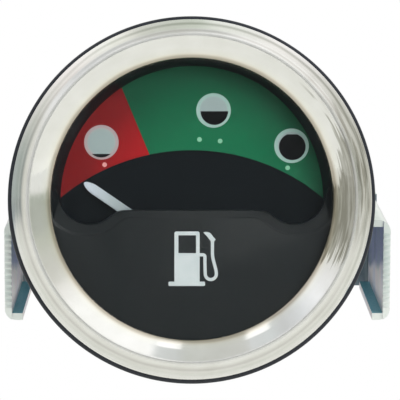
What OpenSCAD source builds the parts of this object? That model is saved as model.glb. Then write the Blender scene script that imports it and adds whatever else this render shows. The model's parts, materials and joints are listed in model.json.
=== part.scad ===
// Round panel fuel gauge with its clamp bracket, in millimetres.
// The gauge's axis runs along Y and it faces -Y, with +Z up.
// The origin is on that axis at the plane where the gasket seats on the panel.

/* [Case] */
// Diameter of the case barrel, which passes through the panel
case_d = 52; // [51:0.5:54]
// Sheet thickness of the drawn case
case_wall = 0.8; // [0.6:0.1:1]
// Depth of the case behind the panel's front face
case_len = 30; // [29:0.5:36]
// Width of the case's front flange outside the barrel
flange_w = 3.3; // [3:0.1:4]

/* [Bezel and glass] */
// Sheet thickness of the bezel
bezel_sheet = 0.5; // [0.4:0.1:0.7]
// Diameter of the opening inside the bezel's lip
sight_d = 46.6; // [45.6:0.2:47.4]
// Radius of the bezel's rolled lip
lip_r = 0.35; // [0.25:0.05:0.45]
// Width of the bezel's ridged outer band
band_w = 2.8; // [2.2:0.1:3.2]
// Height of the bezel's crest in front of the glass
crest_h = 2; // [1.4:0.1:2.8]
// Thickness of the glass
glass_t = 2; // [1.5:0.1:2.5]
// Thickness of the rubber ring behind the glass
seal_t = 0.8; // [0.6:0.1:1.2]
// Thickness of the gasket between the bezel and the panel
gasket_t = 1.5; // [1:0.1:2]
// How far the gasket shows outside the bezel
gasket_show = 0.9; // [0.3:0.1:1.2]

/* [Mask and dial] */
// Thickness of the mask's cover plate
cover_t = 1; // [0.8:0.1:1.2]
// Height of the mask's flat lip edge above the gauge's axis
lip_z = -1.77; // [-2.2:0.05:-1.4]
// Width of the mask's sloping lip
lip_w = 1.4; // [1:0.1:1.8]
// Radius of the mask's two bowls
bowl_r = 5.05; // [4.5:0.05:5.4]
// Distance of each bowl's centre from the middle
bowl_x = 17.05; // [16.6:0.05:17.6]
// Height of the bowls' centres above the gauge's axis
bowl_z = 1; // [0.6:0.1:1.4]
// Depth from the mask's front to the dial
dial_depth = 3.2; // [3.1:0.1:3.8]
// Thickness of the dial plate and its coloured windows
dial_t = 0.5; // [0.4:0.1:0.8]
// Outer radius of the coloured windows that shows past the mask
window_r = 22; // [21.4:0.1:22.3]
// Radius of the windows' lower edge
arc_r = 34.3; // [33:0.1:36]
// Height of the windows' lower edge at the middle
arc_top = 8.3; // [7.8:0.1:8.8]
// Height of the pointer's spindle below the gauge's axis
pivot_drop = 9.5; // [9.2:0.1:9.8]
// Angle of the line between red and green, left of straight up
red_angle = 22.6; // [18:0.2:26]
// Radius of the level symbols
level_r = 2.9; // [2.6:0.1:3.2]
// Thickness of the printed marks
print_t = 0.06; // [0.04:0.01:0.1]

/* [Pointer and movement] */
// Angle of the pointer's stops either side of straight up
stop_angle = 55.7; // [50:0.1:56]
// Length of the pointer from its spindle to its tip
pointer_len = 21.8; // [20:0.1:21.9]
// Width of the pointer
pointer_w = 1.6; // [1.2:0.1:1.8]
// Thickness of the pointer
pointer_t = 0.4; // [0.3:0.05:0.5]
// Radius of the spindle
spindle_r = 0.5; // [0.4:0.05:0.6]
// Running clearance of the spindle in its bushes
spindle_play = 0.05; // [0.02:0.01:0.08]
// Radius of the movement's magnet
magnet_r = 5.2; // [4.6:0.1:5.5]
// Half the width of the coil bobbin
bobbin_w = 7.3; // [7.2:0.05:7.6]
// Depth of the coil bobbin
bobbin_t = 10; // [9:0.2:11]
// Thickness of each coil's winding
coil_t = 1.2; // [0.8:0.1:1.3]
// Width of each coil's winding
coil_w = 3.2; // [2.6:0.1:3.3]

/* [Back of the case] */
// Distance of each stud from the middle
stud_x = 15; // [14:0.5:16]
// Height of the studs below the gauge's axis
stud_drop = 6.2; // [5.8:0.1:6.6]
// Radius of the studs
stud_r = 2; // [1.75:0.05:2.1]
// How far the studs stand out of the case
stud_out = 20; // [19.5:0.5:24]
// Width of the blade terminals
blade_w = 6.3; // [4.8:0.1:6.4]
// Thickness of the blade terminals
blade_t = 0.8; // [0.5:0.1:1]
// How far the blade terminals stand out of the case
blade_out = 12; // [10:0.5:14]
// Height of the lamp above the gauge's axis
lamp_z = 12.5; // [12.2:0.1:13]
// Radius of the lamp holder's barrel
lamp_r = 5.45; // [5.3:0.05:5.6]
// Running clearance of the lamp holder in the case
lamp_play = 0.05; // [0.02:0.01:0.1]

/* [Bracket] */
// Outer width over the bracket's legs
bracket_w = 66; // [64:0.5:70]
// Height of the bracket's legs
leg_h = 17.4; // [16:0.2:18]
// Sheet thickness of the bracket
bracket_t = 1.2; // [1:0.1:1.5]
// Depth of the legs' folded flanges from the outer face
fold_w = 3; // [2.4:0.1:3.6]
// Outer radius of the bracket's bends
bend_r = 2; // [1.6:0.1:2.4]
// Pitch of the teeth on the legs' front edges
tooth_pitch = 1; // [0.8:0.05:1.4]
// Depth of the teeth
tooth_h = 0.5; // [0.3:0.05:0.7]
// Distance of the bracket's base from the back of the case
base_gap = 9.5; // [9:0.1:11]
// Space at rest between the gasket and the nearest tooth
grip_gap = 5.35; // [5.1:0.05:7]
// Angle by which the loose bracket droops
droop = 10; // [6:0.5:11]
// How far the loose bracket hangs to one side
side_slip = 1.05; // [0:0.05:1.05]
// Clearance of the studs in the bracket's wide holes
stud_play = 1.15; // [1.1:0.05:1.3]
// Radius of the washers
washer_r = 4.5; // [4:0.1:4.8]
// Radius of the thumb nuts
nut_r = 5; // [4.8:0.1:5.5]
// Thickness of the thumb nuts
nut_t = 5; // [4:0.1:5.5]
// Running clearance of the studs in the thumb nuts
nut_play = 0.05; // [0.02:0.01:0.08]

/* [Hidden] */
$fn = 64;
// How far a cut runs past the face that it opens
over = 1;
// Gap between parts that must not touch
gap = 0.3;

case_r = case_d / 2;
case_in = case_r - case_wall;
flange_r = case_r + flange_w;
bezel_play = 0.2;
bezel_in = flange_r + bezel_play;
bezel_r = bezel_in + bezel_sheet;
sight_r = sight_d / 2;
dish_r = bezel_r - band_w;
// The glass, its seal and the mask's rim end this far inside the flange's edge
rim_inset = 0.5;
rim_r = flange_r - rim_inset;
rim_t = 0.8;
// Inner radius of the bezel's curl behind the flange
curl_w = 1.4;
curl_r = flange_r - curl_w;
// Radius of the case's shoulder, which the gasket and the seal fit, and which ends just short
// of the panel seat
shoulder_w = 0.5;
seat_in = case_r + shoulder_w;
shoulder_gap = 0.2;
// Outer radius of the mask's neck inside the seal
neck_r = case_r - 2 * gap;

// Planes of the front stack, from the panel seat at 0 towards the viewer
curl_y = -gasket_t;
flange_back = curl_y - bezel_sheet;
flange_y = flange_back - case_wall;
rim_y = flange_y - rim_t;
glass_back = rim_y - seal_t;
glass_y = glass_back - glass_t;
crest_y = glass_y - crest_h;
lip_y = glass_y - 2 * lip_r;
// The band's quarter round starts this far behind the glass's front
band_back = 1.6;
band_y = glass_y + band_back;
mask_y = glass_back + gap;
dial_y = mask_y + dial_depth;
dial_back = dial_y + dial_t;

// The pointer turns on this height, in a plane between the cover and the dial
pivot_z = -pivot_drop;
pointer_room = 1.1;
pointer_back = dial_y - pointer_room;
pointer_y = pointer_back - pointer_t;
hub_r = 1.5;
hub_cap_r = 2.2;
hub_cap_t = 0.4;
hub_y = pointer_y - hub_cap_t;
arm_w = 1.1;
tail_len = 7.3;
weight_r = 1.6;
weight_t = 0.7;
weight_dist = 5.5;
stop_r = 0.5;
stop_dist = 6;
// Depth of the spindle's end inside the hub's cap
cap_skin = 0.2;

// The mask's opening, from the cone's front edge to the windows
cone_lap = 0.2;
cone_front_r = sight_r + cone_lap;
cone_wall = 1.1;
mask_out = case_in - gap;
lip_steps = 4;
// Angle about the bowl's centre at which its lip edge ends
bowl_end = 340;
// Radius of the rounding between the flat lip edge and a bowl
fillet_r = 4;
fillet_z = lip_z - fillet_r;
fillet_x = bowl_x - sqrt(pow(bowl_r + fillet_r, 2) - pow(bowl_z - fillet_z, 2));
join_angle = atan2(bowl_z - fillet_z, bowl_x - fillet_x);

// The windows reach this far under the mask's cone
window_lap = 0.5;
window_out = window_r + window_lap;
arc_z = arc_top - arc_r;
dial_r = case_in - gap;

// Level symbols: angle right of straight up, distance from the spindle as a share of the
// middle one's, and the dark part's lower and upper limits as shares of the inner radius
level_dist = 24.75;
level_ring = 0.5;
level_in = level_r - level_ring;
LEVELS = [[-38.4, 0.986, -1, -0.76], [8.5, 1, -1, -0.1], [42.1, 1.01, -1, 0.8]];
// Scale dots: angle right of straight up, and distance from the spindle as a share of the
// middle level symbol's
DOTS = [[-43.7, 0.862], [3.6, 0.798], [13.8, 0.806], [47.2, 0.883]];
dot_r = 0.42;
dial_hole_r = 1.2;
diffuser_t = 0.6;

// The movement's planes, from the dial backwards
post_h = 2.2;
post_r = 1.8;
post_x = 10;
frame_y = dial_back + post_h;
frame_t = 1.4;
frame_r = case_in - 2 * gap;
frame_top = 2.2;
can_y = frame_y + frame_t;
can_wall = 0.5;
coil_room = 3;
bobbin_y = can_y + coil_room;
bobbin_mid = bobbin_y + bobbin_t / 2;
bobbin_back = bobbin_y + bobbin_t;
can_in_back = bobbin_back + coil_room;
can_back = can_in_back + can_wall;
can_r = 11.1;
boss_r = 1.9;
bush_r = 1.3;
coil_x = 2.4;
magnet_t = 4;
cavity_gap = 0.5;
cavity_r = magnet_r + cavity_gap;
cavity_y = bobbin_mid - magnet_t / 2 - cavity_gap;
cavity_back = bobbin_mid + magnet_t / 2 + cavity_gap;
return_r = 0.7;
return_x = bobbin_w - return_r - cavity_gap;
return_t = 3;
spindle_end = can_in_back - cavity_gap;

// Screws
dial_screw_r = 0.8;
dial_head_r = 1.5;
dial_head_t = 0.7;
pillar_r = 2.2;
pillar_x = 17;
pillar_drop = 3.5;
pillar_z = pivot_z - pillar_drop;
screw_r = 1.2;
screw_head_r = 2.2;
screw_head_t = 1.4;
screw_len = 8;
slot_w = 0.5;

// Back of the case
stud_z = -stud_drop;
case_in_back = case_len - case_wall;
stud_head_r = 3.4;
stud_head_t = 1.6;
stud_end = case_len + stud_out;
hex_af = 7;
hex_t = 2.2;
ins_w = 9;
ins_len = 20;
ins_t = 1.5;
ins_in_t = 0.8;
ins_hole_r = 2.4;
rivet_r = 1.2;
rivet_head_r = 2.1;
rivet_head_t = 0.8;
rivet_x = 4.9;
foot_in = 2.4;
foot_out = 8.1;
foot_y = case_len + ins_t;
blade_end = case_len + blade_out;
blade_hole_r = 0.8;
resistor_r = 1.8;
lead_len = 3.1;
lead_r = 0.35;
resistor_y = case_in_back - ins_in_t - rivet_head_t - lead_len;
blade_hole_back = 3;
// The earth blade and its rivet keep their place from the case's edge
earth_edge = 1.8;
earth_step = 3.6;
earth_foot = 2.6;
earth_z = earth_edge - case_in;
earth_rivet_z = earth_z + earth_step;

// Lamp
holder_wall = 0.75;
holder_in = lamp_r - holder_wall;
holder_deep = 7;
holder_out = 5;
holder_y = case_len - holder_deep;
holder_end = case_len + holder_out;
cap_t = 1;
lamp_flange_r = 7;
lamp_flange_t = 1;
lamp_ins_t = 1.5;
lamp_ins_y = holder_end - cap_t - lamp_ins_t;
lamp_boss_r = 2;
lamp_boss_end = holder_end + 0.5;
contact_r = 1.4;
contact_t = 0.5;
bulb_play = 0.15;
bulb_r = holder_in - bulb_play;
bulb_base_y = holder_y - 1;
bulb_contact_t = 0.6;
bulb_base_end = lamp_ins_y - contact_t - bulb_contact_t;
globe_r = 4.4;
globe_dist = 5.5;
globe_y = bulb_base_y - globe_dist;
bayonet_r = 0.5;
bayonet_deep = 4;
bayonet_y = holder_y + bayonet_deep;
finger_w = 1.2;

// The bracket's tilt axis: a line through both studs
tilt_y = case_len + base_gap;
leg_len = (tilt_y - grip_gap - leg_h / 2 * sin(droop)) / cos(droop);
leg_x = bracket_w / 2;
bracket_hole_r = stud_r + stud_play;
// The base's opening for the terminals leaves this much sheet at each stud hole and edge
window_side = 2.35;
window_edge = 3.5;
window_w = 2 * (stud_x - bracket_hole_r - window_side);
window_h = leg_h - 2 * window_edge;
washer_t = 0.8;
washer_play = 0.2;
washer_hole_r = stud_r + washer_play;
// The washers stand clear of the drooping plate
washer_y = tilt_y + bracket_t / 2 + washer_r * tan(droop) + gap;
spring_r = 3.6;
spring_t = 1;
spring_y = washer_y + washer_t;
nut_y = spring_y + spring_t;
knurls = 30;
knurl_h = 0.25;

// Points on an arc about c, from angle a0 to angle a1
function arc(c, r, a0, a1, n) =
    [for (i = [0:n]) let (a = a0 + (a1 - a0) * i / n) [c.x + r * cos(a), c.y + r * sin(a)]];

// A point at a distance from the spindle and an angle right of straight up
function polar(angle, dist) = [dist * sin(angle), pivot_z + dist * cos(angle)];

// A turned piece: its profile's points are [radius, y]
module turned(profile, x = 0, z = 0) {
    translate([x, 0, z]) rotate([-90, 0, 0]) rotate_extrude() polygon(profile);
}

// A rod along Y
module rod(r, y0, y1, x = 0, z = 0) {
    translate([x, y0, z]) rotate([-90, 0, 0]) cylinder(r = r, h = y1 - y0);
}

// A tube along Y
module tube(r, r_in, y0, y1, x = 0, z = 0) {
    difference() {
        rod(r, y0, y1, x, z);
        rod(r_in, y0 - over, y1 + over, x, z);
    }
}

// A flat outline, drawn as seen from the front, made into a plate from y0 backwards
module plate(y0, t) {
    translate([0, y0 + t, 0]) rotate([90, 0, 0]) linear_extrude(t) children();
}

module block(x0, x1, y0, y1, z0, z1) {
    translate([x0, y0, z0]) cube([x1 - x0, y1 - y0, z1 - z0]);
}

// The left and right copy of what is drawn on the right
module both_sides() {
    children();
    mirror([1, 0, 0]) children();
}

// Chrome bezel: a rolled lip, a dished face, a groove, a ridged band and the curl at the back
module bezel() {
    steps = 24;
    ridges = 3;
    ridge_h = 0.12;
    groove = 0.3;
    sag = 0.15;
    soft = 0.1;
    ridged = 0.75;
    face_in = sight_r + lip_r + soft;
    drop = band_y - crest_y;
    face = [for (t = [0:0.2:1])
        [face_in + (dish_r - 2 * soft - face_in) * t,
         lip_y + (crest_y + soft - lip_y) * t + sag * 4 * t * (1 - t)]];
    band = [for (i = [0:steps]) let (t = i / steps, a = 90 * t,
        h = t < ridged ? ridge_h * abs(sin(180 * ridges * t / ridged)) : 0)
        [dish_r + soft + (band_w - soft) * sin(a) + h * sin(a),
         band_y - drop * cos(a) - h * cos(a)]];
    inner = [for (i = [0:8]) let (a = 90 - 90 * i / 8)
        [dish_r + (band_w - bezel_sheet) * sin(a),
         band_y - (drop - bezel_sheet) * cos(a)]];
    color("gainsboro") turned(concat(
        arc([sight_r + lip_r, glass_y - lip_r], lip_r, 90, 270, 10),
        face,
        [[dish_r, crest_y + groove]],
        band,
        [[bezel_r, curl_y], [curl_r, curl_y], [curl_r, flange_back], [bezel_in, flange_back]],
        inner,
        [[face_in + 2 * soft, lip_y + bezel_sheet]]));
}

module glass() {
    color([0.85, 0.95, 0.95, 0.3]) rod(rim_r, glass_y, glass_back);
}

module glass_seal() {
    color("black") tube(rim_r, seat_in, glass_back, rim_y);
}

// Rubber gasket with a rounded edge, and a step that fills the bezel's curl
module gasket() {
    out = bezel_r + gasket_show;
    edge = gasket_t / 3;
    color([0.06, 0.07, 0.1]) turned(concat(
        [[seat_in, 0]],
        arc([out - edge, -edge], edge, 90, 0, 5),
        arc([out - edge, -gasket_t + edge], edge, 0, -90, 5),
        [[curl_r, -gasket_t], [curl_r, flange_back], [seat_in, flange_back]]));
}

// Drawn steel case with its front flange, a shoulder that holds the gasket, and its back's holes
module case() {
    color("silver") difference() {
        turned([
            [case_in, flange_y], [flange_r, flange_y], [flange_r, flange_back],
            [seat_in, flange_back], [seat_in, -shoulder_gap], [case_r, 0],
            [case_r, case_in_back], [case_in, case_len], [0, case_len], [0, case_in_back],
            [case_in, case_in_back]]);
        both_sides() {
            rod(stud_r, case_in_back - over, case_len + over, stud_x, stud_z);
            rod(screw_r, case_in_back - over, case_len + over, pillar_x, pillar_z);
            rod(ins_hole_r, case_in_back - over, case_len + over, rivet_x, stud_z);
        }
        rod(rivet_r, case_in_back - over, case_len + over, 0, earth_rivet_z);
        rod(lamp_r + lamp_play, case_in_back - over, case_len + over, 0, lamp_z);
    }
}

// The mask's lip edge, moved down by d: flat in the middle, with a bowl at each side
function half_lip(d) = concat(
    arc([fillet_x, fillet_z], fillet_r - d, 90, join_angle, 6),
    arc([bowl_x, bowl_z], bowl_r + d, join_angle + 180, bowl_end, 14));

function mirrored(points) = [for (i = [len(points) - 1:-1:0]) [-points[i].x, points[i].y]];

module cover_outline(d) {
    intersection() {
        circle(r = mask_out);
        polygon(concat(
            mirrored(half_lip(d)), half_lip(d),
            [[case_r, lip_z], [case_r, -case_r], [-case_r, -case_r], [-case_r, lip_z]]));
    }
}

// Black mask: a cone round the dial, and a cover over its lower half
module mask() {
    color([0.12, 0.13, 0.15]) union() {
        turned([
            [cone_front_r, mask_y], [neck_r, mask_y], [neck_r, rim_y], [rim_r, rim_y],
            [rim_r, flange_y], [mask_out, flange_y], [window_r + cone_wall, dial_y],
            [window_r, dial_y]]);
        for (i = [0:lip_steps - 1])
            plate(mask_y + cover_t * i / lip_steps, cover_t / lip_steps)
                cover_outline(lip_w * (1 - i / (lip_steps - 1)));
    }
}

// White print on the cover: a pump with its window, base, hose and nozzle
module pump_symbol() {
    body_left = -2.98;
    body_right = 1.28;
    body_top = -5.35;
    body_foot = -13.69;
    base_foot = -14.5;
    base_over = 0.96;
    frame_side = 0.68;
    glass_top = 0.72;
    glass_h = 2.85;
    hose_w = 0.55;
    elbow_z = -9.2;
    elbow_x = 2.2;
    loop_x = 3.2;
    loop_z = -12.5;
    loop_r = loop_x - elbow_x;
    rise_x = 3.45;
    rise_z = -6.5;
    hose_rise = 2.6;
    bend_z = loop_z + hose_rise;
    lap = 0.1;
    nozzle = [
        [1.84, -5.4], [2.65, -5.4], [3.3, -5.87], [3.93, -6.45],
        [3.8, -6.97], [2.95, -6.74], [2.45, -6.07]];
    color("white") plate(mask_y - print_t, print_t) {
        difference() {
            translate([body_left, body_foot])
                square([body_right - body_left, body_top - body_foot]);
            translate([body_left + frame_side, body_top - glass_top - glass_h])
                square([body_right - body_left - 2 * frame_side, glass_h]);
        }
        translate([body_left - base_over, base_foot])
            square([body_right - body_left + 2 * base_over, body_foot - base_foot]);
        translate([body_left, body_foot - lap])
            square([body_right - body_left, 2 * lap]);
        translate([body_right - hose_w / 2, elbow_z])
            square([elbow_x - body_right + hose_w, hose_w]);
        translate([elbow_x - hose_w / 2, loop_z - lap])
            square([hose_w, elbow_z + hose_w - loop_z + lap]);
        translate([loop_x, loop_z]) intersection() {
            difference() {
                circle(r = loop_r + hose_w / 2);
                circle(r = loop_r - hose_w / 2);
            }
            translate([-loop_r - hose_w, -loop_r - hose_w])
                square([2 * (loop_r + hose_w), loop_r + hose_w]);
        }
        polygon([
            [loop_x + loop_r - hose_w / 2, loop_z - lap],
            [loop_x + loop_r + hose_w / 2, loop_z - lap],
            [rise_x + hose_w / 2, bend_z], [rise_x + hose_w / 2, rise_z],
            [rise_x - hose_w / 2, rise_z], [rise_x - hose_w / 2, bend_z]]);
        polygon(nozzle);
    }
}

// The region of both coloured windows
module window_outline() {
    difference() {
        circle(r = window_out);
        translate([0, arc_z]) circle(r = arc_r);
        translate([-case_r, -2 * case_r]) square([2 * case_r, 2 * case_r]);
    }
}

// The region left of the line between red and green
module red_side() {
    far = polar(-red_angle, 2 * case_r);
    polygon([[0, pivot_z], far, [-2 * case_r, far.y], [-2 * case_r, pivot_z]]);
}

module dial_plate() {
    color([0.08, 0.1, 0.12]) difference() {
        plate(dial_y, dial_t) difference() {
            circle(r = dial_r);
            window_outline();
        }
        rod(dial_hole_r, dial_y - over, dial_back + over, 0, pivot_z);
        both_sides() {
            rod(dial_screw_r, dial_y - over, dial_back + over, post_x, pivot_z);
        }
    }
}

module red_window() {
    color([0.6, 0.12, 0.14]) plate(dial_y, dial_t) intersection() {
        window_outline();
        red_side();
    }
}

module green_window() {
    color([0.1, 0.45, 0.3]) plate(dial_y, dial_t) difference() {
        window_outline();
        red_side();
    }
}

// The dark part of a level symbol
module level_dark(low, high) {
    intersection() {
        circle(r = level_in);
        translate([-level_r, low * level_in]) square([2 * level_r, (high - low) * level_in]);
    }
}

module level_marks() {
    color([0.65, 0.75, 0.74]) plate(dial_y - print_t, print_t)
        for (level = LEVELS)
            translate(polar(level[0], level[1] * level_dist)) difference() {
                circle(r = level_r);
                level_dark(level[2], level[3]);
            }
}

module level_fills() {
    color([0.1, 0.11, 0.13]) plate(dial_y - print_t, print_t)
        for (level = LEVELS)
            translate(polar(level[0], level[1] * level_dist))
                level_dark(level[2], level[3]);
}

module scale_dots() {
    color([0.85, 0.95, 0.85]) plate(dial_y - print_t, print_t)
        for (dot = DOTS)
            translate(polar(dot[0], dot[1] * level_dist)) circle(r = dot_r);
}

// Opal sheet behind the windows, cut along the movement frame's upper edge
module diffuser() {
    color("white") plate(dial_back, diffuser_t) intersection() {
        circle(r = dial_r);
        translate([-case_r, frame_top + gap]) square([2 * case_r, case_r]);
    }
}

module dial_screws() {
    color("silver") both_sides() difference() {
        union() {
            rod(dial_head_r, dial_y - dial_head_t, dial_y, post_x, pivot_z);
            rod(dial_screw_r, dial_y, frame_y, post_x, pivot_z);
        }
        block(post_x - dial_head_r, post_x + dial_head_r,
            dial_y - dial_head_t - over, dial_y - dial_head_t / 2,
            pivot_z - slot_w / 2, pivot_z + slot_w / 2);
    }
}

// Pins on the dial that the pointer's arm meets at the two ends of its sweep
module stop_pins() {
    clear = 0.1;
    lead = asin((arm_w + stop_r + clear) / stop_dist);
    color("silver") for (side = [-1, 1]) {
        place = polar(side * (stop_angle + lead), stop_dist);
        rod(stop_r, pointer_y - 2 * clear, dial_y, place.x, place.y);
    }
}

// Everything on the spindle is drawn pointing up and turned to its rest at the left stop
module at_rest() {
    translate([0, 0, pivot_z]) rotate([0, -stop_angle, 0]) children();
}

module pointer() {
    shoulder = 9;
    color("white") at_rest() difference() {
        union() {
            plate(pointer_y, pointer_t) polygon(concat(
                [[-weight_r, -tail_len], [-arm_w, 0], [-pointer_w / 2, shoulder]],
                arc([0, pointer_len - pointer_w / 2], pointer_w / 2, 180, 0, 10),
                [[pointer_w / 2, shoulder], [arm_w, 0], [weight_r, -tail_len]]));
            rod(hub_cap_r, pointer_y, pointer_back);
        }
        rod(hub_r, pointer_y - over, pointer_back + over);
    }
}

module pointer_hub() {
    color("goldenrod") at_rest() difference() {
        union() {
            rod(hub_cap_r, hub_y, pointer_y);
            rod(hub_r, pointer_y, dial_y - gap);
        }
        rod(spindle_r, hub_y + cap_skin, dial_y);
    }
}

module counterweight() {
    color("silver") at_rest()
        rod(weight_r, pointer_back, pointer_back + weight_t, 0, -weight_dist);
}

module spindle() {
    color("silver") rod(spindle_r, hub_y + cap_skin, spindle_end, 0, pivot_z);
}

module rotor_magnet() {
    color("dimgray")
        tube(magnet_r, spindle_r, bobbin_mid - magnet_t / 2, bobbin_mid + magnet_t / 2, 0, pivot_z);
}

module front_bush() {
    color("goldenrod") tube(bush_r, spindle_r + spindle_play, can_y, bobbin_y, 0, pivot_z);
}

module rear_bush() {
    color("goldenrod") tube(bush_r, spindle_r + spindle_play, bobbin_back, can_in_back, 0, pivot_z);
}

// Half of the bobbin between y0 and y1, with its boss from boss_y0 to boss_y1
module bobbin_half(y0, y1, boss_y0, boss_y1) {
    difference() {
        union() {
            block(-bobbin_w, bobbin_w, y0, y1, pivot_z - bobbin_w, pivot_z + bobbin_w);
            rod(boss_r, boss_y0, boss_y1, 0, pivot_z);
        }
        rod(cavity_r, cavity_y, cavity_back, 0, pivot_z);
        rod(bush_r, boss_y0 - over, boss_y1 + over, 0, pivot_z);
        rod(spindle_r + gap, y0 - over, y1 + over, 0, pivot_z);
    }
}

module bobbin_front() {
    color("ivory") difference() {
        bobbin_half(bobbin_y, bobbin_mid, can_y, bobbin_y);
        rod(return_r, bobbin_mid - return_t, bobbin_mid + over, return_x, pivot_z + return_x);
    }
}

module bobbin_rear() {
    color("ivory") bobbin_half(bobbin_mid, bobbin_back, bobbin_back, can_in_back);
}

// Two loops about the bobbin either side of its boss, drawn to run over the top and bottom
module coil(layer) {
    out = bobbin_w + coil_t;
    both_sides() difference() {
        block(coil_x, coil_x + coil_w, bobbin_y - coil_t * layer, bobbin_back + coil_t * layer,
            -out, out);
        block(coil_x - over, coil_x + coil_w + over,
            bobbin_y - coil_t * (layer - 1), bobbin_back + coil_t * (layer - 1),
            -bobbin_w, bobbin_w);
    }
}

module inner_coil() {
    color("peru") translate([0, 0, pivot_z]) coil(1);
}

module outer_coil() {
    color("peru") translate([0, 0, pivot_z]) rotate([0, 90, 0]) coil(2);
}

module return_magnet() {
    color("dimgray")
        rod(return_r, bobbin_mid - return_t, bobbin_mid, return_x, pivot_z + return_x);
}

module shield_can() {
    color("silver") difference() {
        rod(can_r, can_y, can_back, 0, pivot_z);
        rod(can_r - can_wall, can_y - over, can_in_back, 0, pivot_z);
    }
}

// Moulded frame: a plate behind the dial, posts for the dial and pillars to the case's back
module movement_frame() {
    color("ivory") difference() {
        union() {
            plate(frame_y, frame_t) intersection() {
                circle(r = frame_r);
                translate([-case_r, -case_r]) square([2 * case_r, case_r + frame_top]);
            }
            both_sides() {
                rod(post_r, dial_back, frame_y, post_x, pivot_z);
                rod(pillar_r, can_y, case_in_back, pillar_x, pillar_z);
            }
        }
        rod(spindle_r + 2 * gap, frame_y - over, can_y + over, 0, pivot_z);
        both_sides() {
            rod(dial_screw_r, dial_back - over, frame_y, post_x, pivot_z);
            rod(screw_r, case_len - screw_len, case_in_back + over, pillar_x, pillar_z);
        }
    }
}

module movement_screws() {
    color("silver") both_sides() difference() {
        union() {
            rod(screw_r, case_len - screw_len, case_len, pillar_x, pillar_z);
            rod(screw_head_r, case_len, case_len + screw_head_t, pillar_x, pillar_z);
        }
        block(pillar_x - screw_head_r - over, pillar_x + screw_head_r + over,
            case_len + screw_head_t / 2, case_len + screw_head_t + over,
            pillar_z - slot_w / 2, pillar_z + slot_w / 2);
    }
}

// Studs for the bracket, each with its head inside the case and a chamfered end
module studs() {
    chamfer = 0.4;
    color("silver") both_sides() turned([
        [0, case_in_back - stud_head_t], [stud_head_r, case_in_back - stud_head_t],
        [stud_head_r, case_in_back], [stud_r, case_in_back], [stud_r, stud_end - chamfer],
        [stud_r - chamfer, stud_end], [0, stud_end]], stud_x, stud_z);
}

module stud_nuts() {
    color("silver") both_sides() difference() {
        translate([stud_x, case_len, stud_z]) rotate([-90, 0, 0])
            cylinder(r = hex_af / 2 / cos(30), h = hex_t, $fn = 6);
        rod(stud_r, case_len - over, case_len + hex_t + over, stud_x, stud_z);
    }
}

// A plate with round ends under the two live terminals
module insulator(y0, t) {
    end_x = (ins_len - ins_w) / 2;
    difference() {
        plate(y0, t) polygon(concat(
            arc([end_x, stud_z], ins_w / 2, -90, 90, 16),
            arc([-end_x, stud_z], ins_w / 2, 90, 270, 16)));
        both_sides() {
            rod(rivet_r, y0 - over, y0 + t + over, rivet_x, stud_z);
        }
    }
}

module insulator_outer() {
    color("saddlebrown") insulator(case_len, ins_t);
}

module insulator_inner() {
    color("saddlebrown") insulator(case_in_back - ins_in_t, ins_in_t);
}

// An upright blade in the YZ plane, chamfered at its end, with its locking hole
module blade(x0, y0, y1, z) {
    tip = blade_w / 5;
    difference() {
        translate([x0, 0, z]) rotate([90, 0, 90]) linear_extrude(blade_t) polygon([
            [y0, -blade_w / 2], [y1 - tip, -blade_w / 2], [y1, -blade_w / 2 + tip],
            [y1, blade_w / 2 - tip], [y1 - tip, blade_w / 2], [y0, blade_w / 2]]);
        translate([x0 - over, y1 - blade_hole_back, z]) rotate([0, 90, 0])
            cylinder(r = blade_hole_r, h = blade_t + 2 * over);
    }
}

module terminal_blades() {
    color("khaki") both_sides() difference() {
        union() {
            block(foot_in, foot_out, foot_y, foot_y + blade_t,
                stud_z - blade_w / 2, stud_z + blade_w / 2);
            blade(foot_out - blade_t, foot_y, blade_end, stud_z);
        }
        rod(rivet_r, foot_y - over, foot_y + blade_t + over, rivet_x, stud_z);
    }
}

module terminal_rivets() {
    inner = case_in_back - ins_in_t;
    outer = foot_y + blade_t;
    color("khaki") both_sides() {
        rod(rivet_head_r, inner - rivet_head_t, inner, rivet_x, stud_z);
        rod(rivet_r, inner, outer, rivet_x, stud_z);
        rod(rivet_head_r, outer, outer + rivet_head_t, rivet_x, stud_z);
    }
}

// Resistor with its leads bent back to the two inner rivet heads
module range_resistor() {
    body = rivet_x - 1;
    color("tan") translate([0, resistor_y, stud_z]) {
        rotate([0, 90, 0]) cylinder(r = resistor_r, h = 2 * body, center = true);
        rotate([0, 90, 0]) cylinder(r = lead_r, h = 2 * rivet_x + 2 * lead_r, center = true);
        both_sides() {
            rod(lead_r, 0, case_in_back - ins_in_t - rivet_head_t - resistor_y, rivet_x);
        }
    }
}

module earth_blade() {
    color("khaki") difference() {
        union() {
            block(-blade_w / 2, blade_w / 2, case_len, case_len + blade_t,
                earth_z, earth_rivet_z + earth_foot);
            translate([0, 0, earth_z]) rotate([0, -90, 0])
                blade(0, case_len, blade_end, 0);
        }
        rod(rivet_r, case_len - over, case_len + blade_t + over, 0, earth_rivet_z);
    }
}

module earth_rivet() {
    outer = case_len + blade_t;
    color("khaki") {
        rod(rivet_head_r, case_in_back - rivet_head_t, case_in_back, 0, earth_rivet_z);
        rod(rivet_r, case_in_back, outer, 0, earth_rivet_z);
        rod(rivet_head_r, outer, outer + rivet_head_t, 0, earth_rivet_z);
    }
}

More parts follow.
